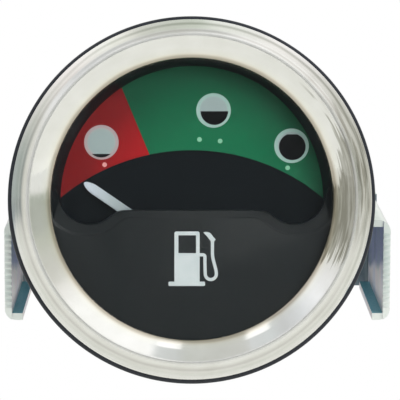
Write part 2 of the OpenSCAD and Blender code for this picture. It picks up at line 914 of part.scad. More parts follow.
// Push-in lamp holder: a sleeve with spring fingers, a flange and a cap
module lamp_holder() {
    color("silver") difference() {
        union() {
            rod(lamp_r, holder_y, holder_end, 0, lamp_z);
            rod(lamp_flange_r, case_len, case_len + lamp_flange_t, 0, lamp_z);
        }
        rod(holder_in, holder_y - over, holder_end - cap_t, 0, lamp_z);
        rod(lamp_boss_r, holder_end - cap_t - over, holder_end + over, 0, lamp_z);
        for (a = [0, 90])
            translate([0, 0, lamp_z]) rotate([0, a, 0])
                block(-lamp_r - over, lamp_r + over, holder_y - over, bayonet_y + finger_w / 2,
                    -finger_w / 2, finger_w / 2);
    }
}

module lamp_insulator() {
    color("saddlebrown") difference() {
        union() {
            rod(holder_in, lamp_ins_y, lamp_ins_y + lamp_ins_t, 0, lamp_z);
            rod(lamp_boss_r, lamp_ins_y, lamp_boss_end, 0, lamp_z);
        }
        rod(rivet_r, lamp_ins_y - over, holder_end + over, 0, lamp_z);
    }
}

// Lamp contact and its blade, as one riveted piece
module lamp_blade() {
    head_t = 0.6;
    blade_len = 8.9;
    head_end = lamp_boss_end + head_t;
    color("khaki") {
        rod(contact_r, lamp_ins_y - contact_t, lamp_ins_y, 0, lamp_z);
        rod(rivet_r, lamp_ins_y, lamp_boss_end, 0, lamp_z);
        rod(rivet_head_r, lamp_boss_end, head_end, 0, lamp_z);
        blade(-blade_t / 2, head_end, head_end + blade_len, lamp_z);
    }
}

// Bulb cap with its bayonet pins and its solder contact
module bulb_base() {
    color("silver") {
        rod(bulb_r, bulb_base_y, bulb_base_end, 0, lamp_z);
        rod(contact_r, bulb_base_end, lamp_ins_y - contact_t, 0, lamp_z);
        translate([0, bayonet_y, lamp_z]) rotate([0, 90, 0])
            cylinder(r = bayonet_r, h = 2 * lamp_r - 2 * lamp_play, center = true);
    }
}

module bulb_glass() {
    crimp = 1;
    stem_r = bulb_r - crimp;
    join = asin(stem_r / globe_r);
    color([1, 1, 0.9, 0.5]) turned(concat(
        [[0, bulb_base_y], [stem_r, bulb_base_y]],
        arc([0, globe_y], globe_r, 90 - join, -90, 14)), 0, lamp_z);
}

// What moves with the bracket is drawn square about its tilt axis and let droop
module drooped() {
    translate([side_slip, tilt_y, stud_z]) rotate([droop, 0, 0]) children();
}

// A rectangle with rounded corners of the given radii at its outer side
module leg_section(x0, x1, h, r) {
    translate([x0, -h / 2]) square([x1 - x0 - r, h]);
    translate([x0, -h / 2 + r]) square([x1 - x0, h - 2 * r]);
    for (side = [-1, 1])
        translate([x1 - r, side * (h / 2 - r)]) circle(r = r);
}

// Bracket: a base plate on the studs and two C-section legs with toothed front edges
module bracket() {
    inner_r = bend_r - bracket_t;
    teeth = floor((leg_h - 2 * bend_r) / tooth_pitch);
    // The folded flanges stop short of the corner bend
    relief = 1;
    flange_end = -bend_r - relief;
    color([0.72, 0.76, 0.82]) drooped() difference() {
        union() {
            // The base and the two webs, bent from one strip
            translate([0, 0, -leg_h / 2]) linear_extrude(leg_h) both_sides() difference() {
                union() {
                    translate([0, -leg_len]) square([leg_x, leg_len + bracket_t / 2 - bend_r]);
                    translate([0, -leg_len])
                        square([leg_x - bend_r, leg_len + bracket_t / 2]);
                    translate([leg_x - bend_r, bracket_t / 2 - bend_r]) circle(r = bend_r);
                }
                translate([-over, -leg_len - over])
                    square([leg_x - bracket_t + over,
                        leg_len + over + bracket_t / 2 - bracket_t - inner_r]);
                translate([-over, -leg_len - over])
                    square([leg_x - bracket_t + over - inner_r,
                        leg_len + over - bracket_t / 2]);
                translate([leg_x - bend_r, bracket_t / 2 - bend_r]) circle(r = inner_r);
            }
            // The flanges folded in along each leg
            both_sides() {
                for (side = [-1, 1])
                    block(leg_x - fold_w, leg_x - bracket_t / 2, -leg_len + tooth_h, flange_end,
                        side > 0 ? leg_h / 2 - bracket_t : -leg_h / 2,
                        side > 0 ? leg_h / 2 : -leg_h / 2 + bracket_t);
            }
        }
        // The legs' outer edges are rounded where the flanges fold
        both_sides() {
            translate([0, flange_end, 0]) rotate([90, 0, 0])
                linear_extrude(leg_len + over) difference() {
                    translate([leg_x - bend_r, -leg_h / 2 - over])
                        square([bend_r + over, leg_h + 2 * over]);
                    leg_section(leg_x - 2 * bend_r, leg_x, leg_h, bend_r);
                }
        }
        // Stud holes, and the opening for the terminals
        both_sides() {
            rod(bracket_hole_r, -bend_r, bend_r, stud_x, 0);
        }
        block(-window_w / 2, window_w / 2, -bend_r, bend_r, -window_h / 2, window_h / 2);
        // Teeth, cut through both legs at once
        for (i = [0:teeth - 1]) {
            z = (i - (teeth - 1) / 2) * tooth_pitch;
            translate([-leg_x - over, 0, z]) rotate([90, 0, 90])
                linear_extrude(2 * leg_x + 2 * over) polygon([
                    [-leg_len - over, -tooth_pitch / 2], [-leg_len, -tooth_pitch / 2],
                    [-leg_len + tooth_h, 0],
                    [-leg_len, tooth_pitch / 2], [-leg_len - over, tooth_pitch / 2]]);
        }
    }
}

module washers() {
    color("silver") both_sides() {
        tube(washer_r, washer_hole_r, washer_y, washer_y + washer_t, stud_x, stud_z);
    }
}

module spring_washers() {
    split = 0.6;
    color("silver") both_sides() difference() {
        tube(spring_r, washer_hole_r, spring_y, spring_y + spring_t, stud_x, stud_z);
        block(stud_x - split / 2, stud_x + split / 2, spring_y - over, spring_y + spring_t + over,
            stud_z + stud_r, stud_z + spring_r + over);
    }
}

// Knurled thumb nut with a plain collar towards the washer
module thumb_nut(x) {
    collar_t = 1;
    collar_r = nut_r - 4 * knurl_h;
    color("goldenrod") difference() {
        union() {
            rod(collar_r, nut_y, nut_y + collar_t, x, stud_z);
            translate([x, 0, stud_z]) plate(nut_y + collar_t, nut_t - collar_t)
                polygon([for (i = [0:2 * knurls - 1])
                    let (a = 180 * i / knurls, r = nut_r - (i % 2) * knurl_h)
                    [r * cos(a), r * sin(a)]]);
        }
        rod(stud_r + nut_play, nut_y - over, nut_y + nut_t + over, x, stud_z);
    }
}

module thumb_nut_left() {
    thumb_nut(-stud_x);
}

module thumb_nut_right() {
    thumb_nut(stud_x);
}

bezel();
glass();
glass_seal();
gasket();
case();
mask();
pump_symbol();
dial_plate();
red_window();
green_window();
level_marks();
level_fills();
scale_dots();
diffuser();
dial_screws();
stop_pins();
pointer();
pointer_hub();
counterweight();
spindle();
rotor_magnet();
front_bush();
rear_bush();
bobbin_front();
bobbin_rear();
inner_coil();
outer_coil();
return_magnet();
shield_can();
movement_frame();
movement_screws();
studs();
stud_nuts();
insulator_outer();
insulator_inner();
terminal_blades();
terminal_rivets();
range_resistor();
earth_blade();
earth_rivet();
lamp_holder();
lamp_insulator();
lamp_blade();
bulb_base();
bulb_glass();
bracket();
washers();
spring_washers();
thumb_nut_left();
thumb_nut_right();
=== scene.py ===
import json
import math

import bmesh
import bpy
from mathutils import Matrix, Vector


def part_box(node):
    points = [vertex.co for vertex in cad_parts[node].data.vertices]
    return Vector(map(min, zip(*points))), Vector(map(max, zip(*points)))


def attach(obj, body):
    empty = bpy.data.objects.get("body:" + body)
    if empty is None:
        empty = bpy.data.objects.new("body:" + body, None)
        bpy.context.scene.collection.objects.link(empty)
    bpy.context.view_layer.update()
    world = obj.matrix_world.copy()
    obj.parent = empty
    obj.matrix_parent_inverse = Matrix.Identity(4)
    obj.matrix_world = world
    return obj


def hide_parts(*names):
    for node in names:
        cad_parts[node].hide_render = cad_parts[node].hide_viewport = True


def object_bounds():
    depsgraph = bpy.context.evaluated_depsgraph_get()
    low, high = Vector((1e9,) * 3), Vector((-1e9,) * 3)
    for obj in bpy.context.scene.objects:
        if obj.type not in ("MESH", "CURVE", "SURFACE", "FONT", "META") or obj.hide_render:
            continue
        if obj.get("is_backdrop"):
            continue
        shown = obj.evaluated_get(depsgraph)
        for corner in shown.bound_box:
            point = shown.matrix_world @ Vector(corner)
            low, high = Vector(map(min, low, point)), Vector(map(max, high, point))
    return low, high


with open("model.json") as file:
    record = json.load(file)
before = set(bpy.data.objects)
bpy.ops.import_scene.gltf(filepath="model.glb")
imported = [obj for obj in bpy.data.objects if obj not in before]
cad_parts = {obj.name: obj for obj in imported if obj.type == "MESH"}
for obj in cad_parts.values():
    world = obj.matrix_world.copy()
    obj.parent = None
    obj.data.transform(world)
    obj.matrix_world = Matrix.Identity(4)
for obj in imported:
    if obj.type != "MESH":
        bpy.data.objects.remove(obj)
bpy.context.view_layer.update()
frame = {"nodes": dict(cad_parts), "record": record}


# The case: a cup drawn from steel sheet and zinc plated, with a flange turned out at its mouth.
# The press leaves every corner a little round, and the plating a soft, slightly blotchy shine.
# The bezel, the movement, the studs and the terminals are all fixed to it.
MM = 0.001


def feed(node, **inputs):
    """Gives a node's inputs, by name, a plain value or another node's output."""
    for name, value in inputs.items():
        socket = node.inputs[name.replace("_", " ")]
        if isinstance(value, bpy.types.NodeSocket):
            node.id_data.links.new(value, socket)
        else:
            socket.default_value = value


def add(kind, *sources, **inputs):
    """A new node: its first inputs come from the sources in order, and others go by name."""
    whole = sources[0].id_data
    node = whole.nodes.new("ShaderNode" + kind)
    for source, socket in zip(sources, node.inputs):
        whole.links.new(source, socket)
    feed(node, **inputs)
    return node


def tree(name):
    """A new material, its shader and its place in millimetres."""
    mat = bpy.data.materials.new(name)
    mat.use_nodes = True
    nodes = mat.node_tree.nodes
    place = add("VectorMath", nodes.new("ShaderNodeTexCoord").outputs["Object"])
    place.operation = "SCALE"
    feed(place, Scale=1 / MM)
    return mat, nodes["Principled BSDF"], place.outputs[0]


def noise(place, size, detail=3.0, pull=(1, 1, 1)):
    """Noise of the given size in mm, longer along the axes with a larger pull."""
    scale = add("Mapping", place, Scale=[1 / (size * p) for p in pull])
    return add("TexNoise", scale.outputs[0], Scale=1, Detail=detail).outputs["Fac"]


def graded(factor, stops):
    """Colours at the given places along factor, from 0 to 1."""
    node = add("ValToRGB", factor)
    points = node.color_ramp.elements
    while len(points) < len(stops):
        points.new(0.5)
    for point, (at, colour) in zip(points, stops):
        point.position = at
        point.color = (*colour, 1)
    return node.outputs["Color"]


def ramp(factor, colours, low=0.3, high=0.7):
    """Colours spread evenly over factor from low to high."""
    gaps = max(1, len(colours) - 1)
    return graded(factor, [(low + (high - low) * i / gaps, c) for i, c in enumerate(colours)])


def span(factor, low, high, start=0.3, end=0.7):
    """factor from start to end, mapped from low to high."""
    node = add("MapRange", factor, From_Min=start, From_Max=end, To_Min=low, To_Max=high)
    return node.outputs["Result"]


def combine(operation, first, second):
    """Two values worked into one. The second may be a plain number."""
    node = add("Math", first)
    node.operation = operation
    if isinstance(second, (int, float)):
        node.inputs[1].default_value = second
    else:
        node.id_data.links.new(second, node.inputs[1])
    return node.outputs[0]


def relief(height, depth, below=None):
    """A bump of the given depth in mm, over another one if there is one below it."""
    node = height.id_data.nodes.new("ShaderNodeBump")
    feed(node, Strength=1, Distance=depth * MM, Height=height)
    if below:
        feed(node, Normal=below)
    return node.outputs["Normal"]


def finish(name, colours, rough, patch=5.0, grain=0.25, depth=0.004, pull=(1, 1, 1), **settings):
    """A finish whose colour and gloss drift in patches, with a fine grain. Sizes are in mm."""
    mat, shader, place = tree(name)
    drift = noise(place, patch)
    fine = noise(place, grain, 2.0, pull)
    gloss = span(combine("ADD", drift, fine), *rough, 0.7, 1.3)
    feed(shader, Base_Color=ramp(drift, colours), Roughness=gloss, Normal=relief(fine, depth),
         **settings)
    return mat


def smooth(mesh, angle=35):
    """Smooth shading, with edges sharper than the angle kept sharp."""
    work = bmesh.new()
    work.from_mesh(mesh)
    for face in work.faces:
        face.smooth = True
    for edge in work.edges:
        edge.smooth = edge.calc_face_angle(0) < math.radians(angle)
    work.to_mesh(mesh)
    work.free()


def body_of(node):
    return next(b for b, nodes in frame["record"]["behaviour"]["bodies"].items() if node in nodes)


def fit(work, name, node, mat, angle=35, flats=False):
    """Makes the bmesh into a piece that stands for a CAD node, on its body and in its slot."""
    bmesh.ops.recalc_face_normals(work, faces=work.faces)
    mesh = bpy.data.meshes.new(name)
    work.to_mesh(mesh)
    work.free()
    smooth(mesh, angle)
    mesh.materials.append(mat)
    piece = bpy.data.objects.new(name, mesh)
    bpy.context.scene.collection.objects.link(piece)
    if flats:
        even = piece.modifiers.new("even_flats", "WEIGHTED_NORMAL")
        even.keep_sharp = True
        even.weight = 100
    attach(piece, body_of(node))
    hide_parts(node)
    return piece


def rounded(node, mat, width, name=None, angle=30):
    """A new piece in the shape of a CAD node, with its edges rounded by width mm."""
    work = bmesh.new()
    work.from_mesh(frame["nodes"][node].data)
    bmesh.ops.remove_doubles(work, verts=work.verts, dist=0.002 * MM)
    bmesh.ops.dissolve_limit(
        work, angle_limit=math.radians(0.3), verts=work.verts, edges=work.edges)
    sharp = [e for e in work.edges if e.calc_face_angle(0) > math.radians(angle)]
    bmesh.ops.bevel(
        work, geom=sharp, offset=width * MM, segments=3, profile=0.5,
        affect="EDGES", clamp_overlap=True)
    return fit(work, name or node + "_rounded", node, mat, 50, True)


plated = finish(
    "plated_steel", [(0.50, 0.52, 0.54), (0.62, 0.64, 0.65), (0.70, 0.70, 0.69)],
    (0.24, 0.42), patch=7, grain=0.3, depth=0.003, Metallic=1)
rounded("case", plated, 0.25, "drawn_case")
rounded("shield_can", plated, 0.1)


# The movement: a moulded frame screwed to the case's back carries a two-part bobbin with two
# crossed coils of enamelled copper wire. A magnet on the spindle turns inside them, in brass
# bushes, and a small fixed magnet draws it back to empty. It is all hidden behind the dial.
ivory = finish(
    "bobbin_plastic", [(0.62, 0.58, 0.47), (0.70, 0.66, 0.55)], (0.35, 0.5), patch=9, depth=0.002)
for node in ("movement_frame", "bobbin_front", "bobbin_rear"):
    rounded(node, ivory, 0.12)

bright = finish(
    "bright_zinc", [(0.55, 0.58, 0.62), (0.70, 0.72, 0.73)], (0.18, 0.34), patch=3, grain=0.15,
    depth=0.002, Metallic=1)
for node in ("dial_screws", "movement_screws", "stop_pins"):
    rounded(node, bright, 0.12)

brass = finish(
    "brass", [(0.62, 0.44, 0.18), (0.74, 0.56, 0.27), (0.68, 0.50, 0.25)], (0.2, 0.38), patch=3,
    grain=0.15, depth=0.002, Metallic=1)
for node in ("front_bush", "rear_bush"):
    rounded(node, brass, 0.08)

ferrite = finish(
    "magnet", [(0.05, 0.05, 0.055), (0.10, 0.10, 0.11)], (0.45, 0.65), patch=1.5, grain=0.1,
    depth=0.006, Metallic=0.6)
for node in ("rotor_magnet", "return_magnet"):
    rounded(node, ferrite, 0.12)


def winding(name, along):
    """Enamelled copper wire laid in turns, which step along one axis."""
    wire = 0.28
    mat, shader, place = tree(name)
    turns = add("TexWave", place, Scale=math.pi / (10 * wire), Distortion=0.3)
    turns.wave_type = "BANDS"
    turns.bands_direction = along
    turns.wave_profile = "SIN"
    ridge = turns.outputs["Fac"]
    feed(shader, Base_Color=ramp(ridge, [(0.22, 0.07, 0.02), (0.62, 0.25, 0.09)], 0, 1),
         Roughness=span(noise(place, 2), 0.2, 0.35), Normal=relief(ridge, wire / 3),
         Metallic=1, Coat_Weight=0.6)
    return mat


rounded("inner_coil", winding("inner_wire", "X"), 0.3)
rounded("outer_coil", winding("outer_wire", "Z"), 0.3)


# The dial: a black plate with a fine satin print, which has an arc-shaped opening. Red and
# green plastic windows fill it, with an opal sheet behind them for the lamp's light. The tank
# symbols and the dots are screen-printed on the windows.
dial_black = finish(
    "dial_black", [(0.0025, 0.0050, 0.0075), (0.0045, 0.0070, 0.0090)], (0.5, 0.65), patch=12,
    grain=0.12, depth=0.0012, Specular_IOR_Level=0.1)
rounded("dial_plate", dial_black, 0.06)


def distance(place, point):
    """How far each place is from a point, in mm."""
    node = add("VectorMath", place)
    node.operation = "DISTANCE"
    node.inputs[1].default_value = point
    return node.outputs["Value"]


def window(name, lit_mid_colour, shaded_rim_colour):
    """Coloured plastic with painted shade that deepens it towards the dial's rim, where the bezel and
    cone shade the windows.
    """
    lit_x = 3
    mid_r = 11
    rim_r = 21
    mat, shader, place = tree(name)
    # Painted shade: the colour darkens from the mid radius out to the rim radius, measured from a
    # point a little right of the dial's centre.
    outward = span(distance(place, (lit_x, 0, 0)), 0, 0.95, mid_r, rim_r)
    drift = noise(place, 6)
    uneven = combine("ADD", combine("MULTIPLY", drift, 0.12), outward)
    feed(shader, Base_Color=ramp(uneven, [lit_mid_colour, shaded_rim_colour], 0, 1),
         Roughness=span(drift, 0.3, 0.42), Normal=relief(noise(place, 0.3), 0.0015),
         Specular_IOR_Level=0.2)
    return mat


rounded("red_window", window("red_window", (0.54, 0.004, 0.009), (0.212, 0.002, 0.004)), 0.03)
rounded("green_window", window("green_window", (0.002, 0.162, 0.068), (0.001, 0.083, 0.037)), 0.03)
opal = finish(
    "opal_plastic", [(0.75, 0.76, 0.74), (0.82, 0.82, 0.80)], (0.3, 0.4), patch=8,
    Subsurface_Weight=0.3, Subsurface_Scale=0.001)
rounded("diffuser", opal, 0.05)


symbols = ((-15.16, 9.62), (3.66, 14.98), (16.76, 9.05))
symbol_r = 2.9
print_y = -0.95
red_end = -11


def split(vector):
    """A vector's three parts, which go by X, Y and Z."""
    return add("SeparateXYZ", vector).outputs


def blend(share, first, second):
    """A colour between two others. The second may be a plain colour."""
    node = share.id_data.nodes.new("ShaderNodeMix")
    node.data_type = "RGBA"
    feed(node, Factor=share, A=first, B=second)
    return node.outputs["Result"]


def ringed(name):
    """Grey print with a paler ring round the edge of each of the three tank symbols."""
    grey = (0.37, 0.45, 0.46)
    mat, shader, place = tree(name)
    gaps = [distance(place, (x, print_y, z)) for x, z in symbols]
    nearest = combine("MINIMUM", combine("MINIMUM", gaps[0], gaps[1]), gaps[2])
    fine = noise(place, 0.12, 2.0)
    uneven = combine("ADD", combine("MULTIPLY", noise(place, 1.4), 0.08), nearest)
    edge = span(uneven, 0, 1, 2.15, 2.7)
    over_green = ramp(edge, [grey, (0.39, 0.48, 0.48), (0.38, 0.56, 0.52)], 0, 0.6)
    over_red = ramp(edge, [grey, (0.40, 0.46, 0.47), (0.48, 0.38, 0.39)], 0, 0.6)
    side = span(split(place)["X"], 0, 1, red_end, red_end + 2)
    feed(shader, Base_Color=blend(side, over_red, over_green), Roughness=span(fine, 0.4, 0.55),
         Normal=relief(fine, 0.0015), Specular_IOR_Level=0.25)
    return mat


def arc(x, z, r, start, end, count):
    """Points on an arc, with its angles in degrees."""
    turns = [math.radians(start + (end - start) * i / count) for i in range(count + 1)]
    return [(x + r * math.cos(a), z + r * math.sin(a)) for a in turns]


def bridge(work, here, there):
    """Joins two closed rings of corners by a band of faces."""
    for i in range(len(here)):
        k = (i + 1) % len(here)
        work.faces.new((here[i], here[k], there[k], there[i]))


def flat_form(work, points, front, back):
    """Adds a flat form with this outline, from front to back in mm, to a mesh."""
    rings = [[work.verts.new((x * MM, y * MM, z * MM)) for x, z in points] for y in (front, back)]
    for ring in rings:
        work.faces.new(ring)
    bridge(work, *rings)


low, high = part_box("level_marks")
front, back = low.y / MM, high.y / MM
proud = 0.015
marks = bmesh.new()
for x, z in symbols:
    flat_form(marks, arc(x, z, symbol_r, 0, 360, 72)[:-1], front + proud, back)
fit(marks, "level_discs", "level_marks", ringed("level_print"), 50)
dark = finish(
    "dark_print", [(0.0025, 0.0028, 0.0035), (0.0035, 0.0035, 0.0045)], (0.4, 0.5), patch=1.2,
    grain=0.1, depth=0.0015, Specular_IOR_Level=0.1)
fills = bmesh.new()
for x, z, r, top in ((-15.18, 9.39, 2.33, 7.67), (3.79, 14.86, 2.32, 14.85),
                     (16.88, 8.88, 2.25, 10.97)):
    slope = math.degrees(math.asin((top - z) / r))
    flat_form(fills, arc(x, z, r, 180 - slope, 360 + slope, 48), front, front + 3 * proud)
fit(fills, "level_darks", "level_fills", dark, 50)


def dots(name):
    """White print seen through the plastic: pinkish over the red, greenish over the green."""
    mat, shader, place = tree(name)
    side = span(split(place)["X"], 0, 1, red_end - 1, red_end + 1)
    fine = noise(place, 0.12, 2.0)
    feed(shader, Base_Color=ramp(side, [(0.80, 0.34, 0.33), (0.25, 0.58, 0.39)], 0, 1),
         Roughness=span(fine, 0.4, 0.55), Normal=relief(fine, 0.0015))
    return mat


low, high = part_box("scale_dots")
dot_r = 0.39
specks = bmesh.new()
for x, z in ((-14.62, 5.86), (1.30, 10.10), (4.77, 9.84), (16.10, 5.34)):
    flat_form(specks, arc(x, z, dot_r, 0, 360, 72)[:-1], low.y / MM, high.y / MM)
fit(specks, "print_dots", "scale_dots", dots("dot_print"), 50)


# The pointer: a strip punched from thin aluminium and painted white, riveted with its brass hub
# to the steel spindle. A small weight under its tail balances it.
pointer_y, pointer_t = -2.4, 0.4
hub_z = -9.5


def shaded_pointer_paint():
    """White paint with painted shade that darkens it towards the hub, where the mask's cover shades
    it.
    """
    mat, shader, place = tree("white_paint")
    from_hub = distance(place, (0, pointer_y, hub_z))
    uneven = combine("ADD", combine("MULTIPLY", noise(place, 2.5), 3), from_hub)
    fine = noise(place, 0.12, 2.0)
    # Painted shade: the paint goes from bluish white at the tip to grey towards the hub.
    tint = ramp(span(uneven, 0, 1, 14, 23.5), [
        (0.33, 0.38, 0.40), (0.47, 0.53, 0.57), (0.68, 0.73, 0.84)], 0, 1)
    feed(shader, Base_Color=tint, Roughness=span(fine, 0.32, 0.46), Normal=relief(fine, 0.002))
    return mat


tip_w, shank_w = 0.75, 1.62
tip_r, tip_l = 21.8, 2.2
tail_r, tail_end = 0.55, -7.3
punched_edge = 0.13
sharp_turn = 1.2
stop_angle = math.radians(55.7)
outline = []
for i in range(13):
    t = i / 12
    outline.append((-(shank_w - (shank_w - tip_w) * t**2.2) / 2, tip_r - tip_l + (tip_l - 0.3) * t))
outline += [(x, tip_r - fall) for x, fall in ((-0.24, 0.12), (-0.1, 0.02), (0.1, 0.02), (0.24, 0.12))]
outline += [(-x, r) for x, r in reversed(outline[:13])]
outline += [(0.8, 9.0), (tail_r, 2.0)] + arc(0, tail_end + tail_r, tail_r, 0, -180, 8)
outline += [(-tail_r, 2.0), (-0.8, 9.0)]
needle = bmesh.new()
flat_form(needle, [
    (x * math.cos(stop_angle) - r * math.sin(stop_angle),
     hub_z + x * math.sin(stop_angle) + r * math.cos(stop_angle)) for x, r in outline],
    pointer_y, pointer_y + pointer_t)
bmesh.ops.recalc_face_normals(needle, faces=needle.faces)
corners = [e for e in needle.edges if e.calc_face_angle(0) > sharp_turn]
bmesh.ops.bevel(needle, geom=corners, offset=punched_edge * MM, segments=3,
                affect="EDGES", clamp_overlap=True)
fit(needle, "white_pointer", "pointer", shaded_pointer_paint(), 50, True)
rounded("pointer_hub", brass, 0.1)
rounded("spindle", bright, 0.06)
rounded("counterweight", bright, 0.1)


# The mask: one black moulding. Its cone lines the bezel's opening down to the windows, and its
# cover hides the spindle behind a wavy edge that rolls down to the recess. A fine matt texture
# is eroded into the mould.
weld = 0.001 * MM


def turned(work, x, z, r, y, a):
    """A new corner at radius r, height y and angle a about an axis along Y through x and z."""
    return work.verts.new(((x + r * math.cos(a)) * MM, y * MM, (z + r * math.sin(a)) * MM))


def solid_lathe(profile, steps=160, x=0.0, z=0.0, shape=None):
    """A closed profile of (radius, y) points in mm turned about an axis along Y."""
    work = bmesh.new()
    rows = []
    for i in range(steps):
        a = 2 * math.pi * i / steps
        points = [shape(r, y, a) for r, y in profile] if shape else profile
        rows.append([turned(work, x, z, r, y, a) for r, y in points])
    for i in range(steps):
        bridge(work, rows[i], rows[(i + 1) % steps])
    bmesh.ops.remove_doubles(work, verts=work.verts, dist=weld)
    return work


black = finish(
    "black_plastic", [(0.0030, 0.0058, 0.0078), (0.0046, 0.0066, 0.0082)], (0.34, 0.46), patch=10,
    grain=0.2, depth=0.0012, Specular_IOR_Level=0.34)

cover_front = -4.1
cover_back = -3.1
bowl = (17.05, 1.0, 5.05)
bowl_end = 352
lip_z = -1.77
fillet = 4.0
cover_r = 23.45
tip_turn = math.radians(6)
run_up = 12
fillet_z = lip_z - fillet
fillet_x = bowl[0] - math.sqrt((bowl[2] + fillet) ** 2 - (bowl[1] - fillet_z) ** 2)
join = math.degrees(math.atan2(bowl[1] - fillet_z, bowl[0] - fillet_x))

foot_bowl = (17.6, 1.9, 8.2)
foot_bowl_end = 313.8
foot_lip = -3.17
foot_fillet = 3.0
foot_join_z = foot_lip - foot_fillet
foot_join_x = foot_bowl[0] - math.sqrt(
    (foot_bowl[2] + foot_fillet) ** 2 - (foot_bowl[1] - foot_join_z) ** 2)
foot_join = math.degrees(math.atan2(
    foot_bowl[1] - foot_join_z, foot_bowl[0] - foot_join_x))


def edge_row(corner_x, corner_z, corner, join_at, hollow, end_angle):
    """One edge of the slope from left to right: a flat, two fillets and two hollows."""
    half = [(corner_x * i / 8, corner_z + corner) for i in range(8)]
    half += arc(corner_x, corner_z, corner, 90, join_at, 12)
    half += arc(hollow[0], hollow[1], hollow[2], join_at + 180, end_angle, 30)[1:]
    start = math.atan2(half[-1][1], half[-1][0])
    start_r = math.hypot(*half[-1])
    for i in range(1, run_up + 1):
        t = i / run_up
        turn = start + (tip_turn - start) * t
        r = start_r + (cover_r - start_r) * t**2
        half.append((r * math.cos(turn), r * math.sin(turn)))
    return [(-x, z) for x, z in reversed(half)] + half[1:]


foot_r, foot_wider = 22.0, 0.5
wide_side = math.radians(72)


def cone_foot(r, y, a):
    """The cone's foot is a little wider on its upper side."""
    if r > foot_r:
        return r, y
    return r + foot_wider * max(0, math.cos(a - wide_side))**2, y


mask = solid_lathe([
    (23.5, -4.1), (23.62, -4.18), (25.3, -4.18), (25.4, -4.1), (25.4, -3.6), (28.8, -3.6),
    (28.8, -2.8), (24.9, -2.8), (23.1, -0.9), (foot_r, -0.9)], shape=cone_foot)


def ease(t, start, end):
    """A smooth step from 0 to 1 as t goes from start to end."""
    t = min(1, max(0, (t - start) / (end - start)))
    return t * t * (3 - 2 * t)


lip_steps = 30
top_row = edge_row(fillet_x, fillet_z, fillet, join, bowl, bowl_end)
foot_row = edge_row(
    foot_join_x, foot_join_z, foot_fillet, foot_join, foot_bowl, foot_bowl_end)
rows = []
for k in range(lip_steps + 1):
    t = k / lip_steps
    row = []
    for i, ((x0, z0), (x1, z1)) in enumerate(zip(top_row, foot_row)):
        x, z = x0 + (x1 - x0) * t, z0 + (z1 - z0) * t
        shrink = min(1, cover_r / math.hypot(x, z))
        left = min(1, i / run_up, (len(top_row) - 1 - i) / run_up)
        step = ease(abs(x0), 5, 11)
        rise = 0.78 * ease(t, 0, 0.10) + 0.06 * t + 0.16 * (step * ease(t, 0.80, 1) + (1 - step) * t)
        y = cover_back + (cover_front - cover_back) * rise * left
        row.append((x * shrink, y, z * shrink))
    rows.append(row)
corner = rows[-1][-1 - run_up]
corner_turn = math.degrees(math.atan2(corner[2], corner[0]))
rim = arc(0, 0, cover_r, corner_turn, -180 - corner_turn, 120)[1:-1]
front_rim = [(x, cover_front, z) for x, z in rim]
back_rim = [(x, cover_back, z) for x, z in rim]
right_end = list(reversed(rows[-1][-1 - run_up:]))
left_end = list(reversed(rows[-1][:run_up + 1]))
front_wall = right_end + front_rim + left_end
back_wall = [(x, cover_back, z) for x, y, z in right_end] + back_rim
back_wall += [(x, cover_back, z) for x, y, z in left_end]
faces = [rows[-1][run_up:-run_up] + front_rim, rows[0] + back_wall[1:-1]]
faces += [[low[i], low[i + 1], high[i + 1], high[i]]
          for low, high in zip(rows, rows[1:]) for i in range(len(low) - 1)]
faces += [[front_wall[i], front_wall[i + 1], back_wall[i + 1], back_wall[i]]
          for i in range(1, len(front_wall) - 2)]
faces += [[front_wall[0], front_wall[1], back_wall[1]],
          [front_wall[-1], front_wall[-2], back_wall[-2]]]
for face in faces:
    mask.faces.new([mask.verts.new([c * MM for c in point]) for point in face])
bmesh.ops.remove_doubles(mask, verts=mask.verts, dist=weld)
fit(mask, "moulded_mask", "mask", black, 40)

pump_white = finish(
    "pump_print", [(0.62, 0.675, 0.70), (0.68, 0.72, 0.745)], (0.38, 0.5), patch=1.5, grain=0.12,
    depth=0.0012)


def stroke(points, width):
    """The right side of a line of this width, and then its left side, going along the points."""
    right, left = [], []
    for i, (x, z) in enumerate(points):
        x0, z0 = points[max(0, i - 1)]
        x1, z1 = points[min(len(points) - 1, i + 1)]
        length = math.hypot(x1 - x0, z1 - z0)
        dx, dz = (x1 - x0) / length * width / 2, (z1 - z0) / length * width / 2
        right.append((x + dz, z - dx))
        left.append((x - dz, z + dx))
    return right, left


hose = [(1.29, -9.25)] + arc(1.8, -9.62, 0.37, 90, 0, 8)
hose += [(2.17, -10.5), (2.19, -11.5)] + arc(3.147, -12.446, 0.92, 180, 360, 28)
hose += [(4.06, -12.15), (4.0, -11.78), (3.83, -11.12), (3.65, -10.46), (3.51, -9.85),
         (3.44, -9.4), (3.42, -8.9), (3.42, -7.2)]
hose_w = 0.53
hose_below, hose_above = stroke(hose, hose_w)
nozzle = [(3.72, -7.0), (3.967, -6.716), (3.7, -6.42), (3.47, -6.15), (3.25, -5.85), (3.0, -5.6),
          (2.7, -5.48), (2.3, -5.44), (1.9, -5.52), (2.05, -5.7), (2.5, -6.15), (2.85, -6.62),
          (3.13, -6.95)]
base_corner, top_corner = 0.2, 0.34
pump_outline = arc(-3.69, -14.24, base_corner, 180, 270, 4)
pump_outline += arc(1.99, -14.24, base_corner, 270, 360, 4) + arc(1.99, -13.92, base_corner, 0, 90, 4)
pump_outline += [(1.29, -13.72)] + hose_below + nozzle + list(reversed(hose_above))
pump_outline += arc(0.95, -5.72, top_corner, 0, 90, 5) + arc(-2.573, -5.72, top_corner, 90, 180, 5)
pump_outline += [(-2.913, -13.72)] + arc(-3.69, -13.92, base_corner, 90, 180, 4)
print_edge = 0.015
low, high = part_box("pump_symbol")
pump = bmesh.new()
pump_edges = []
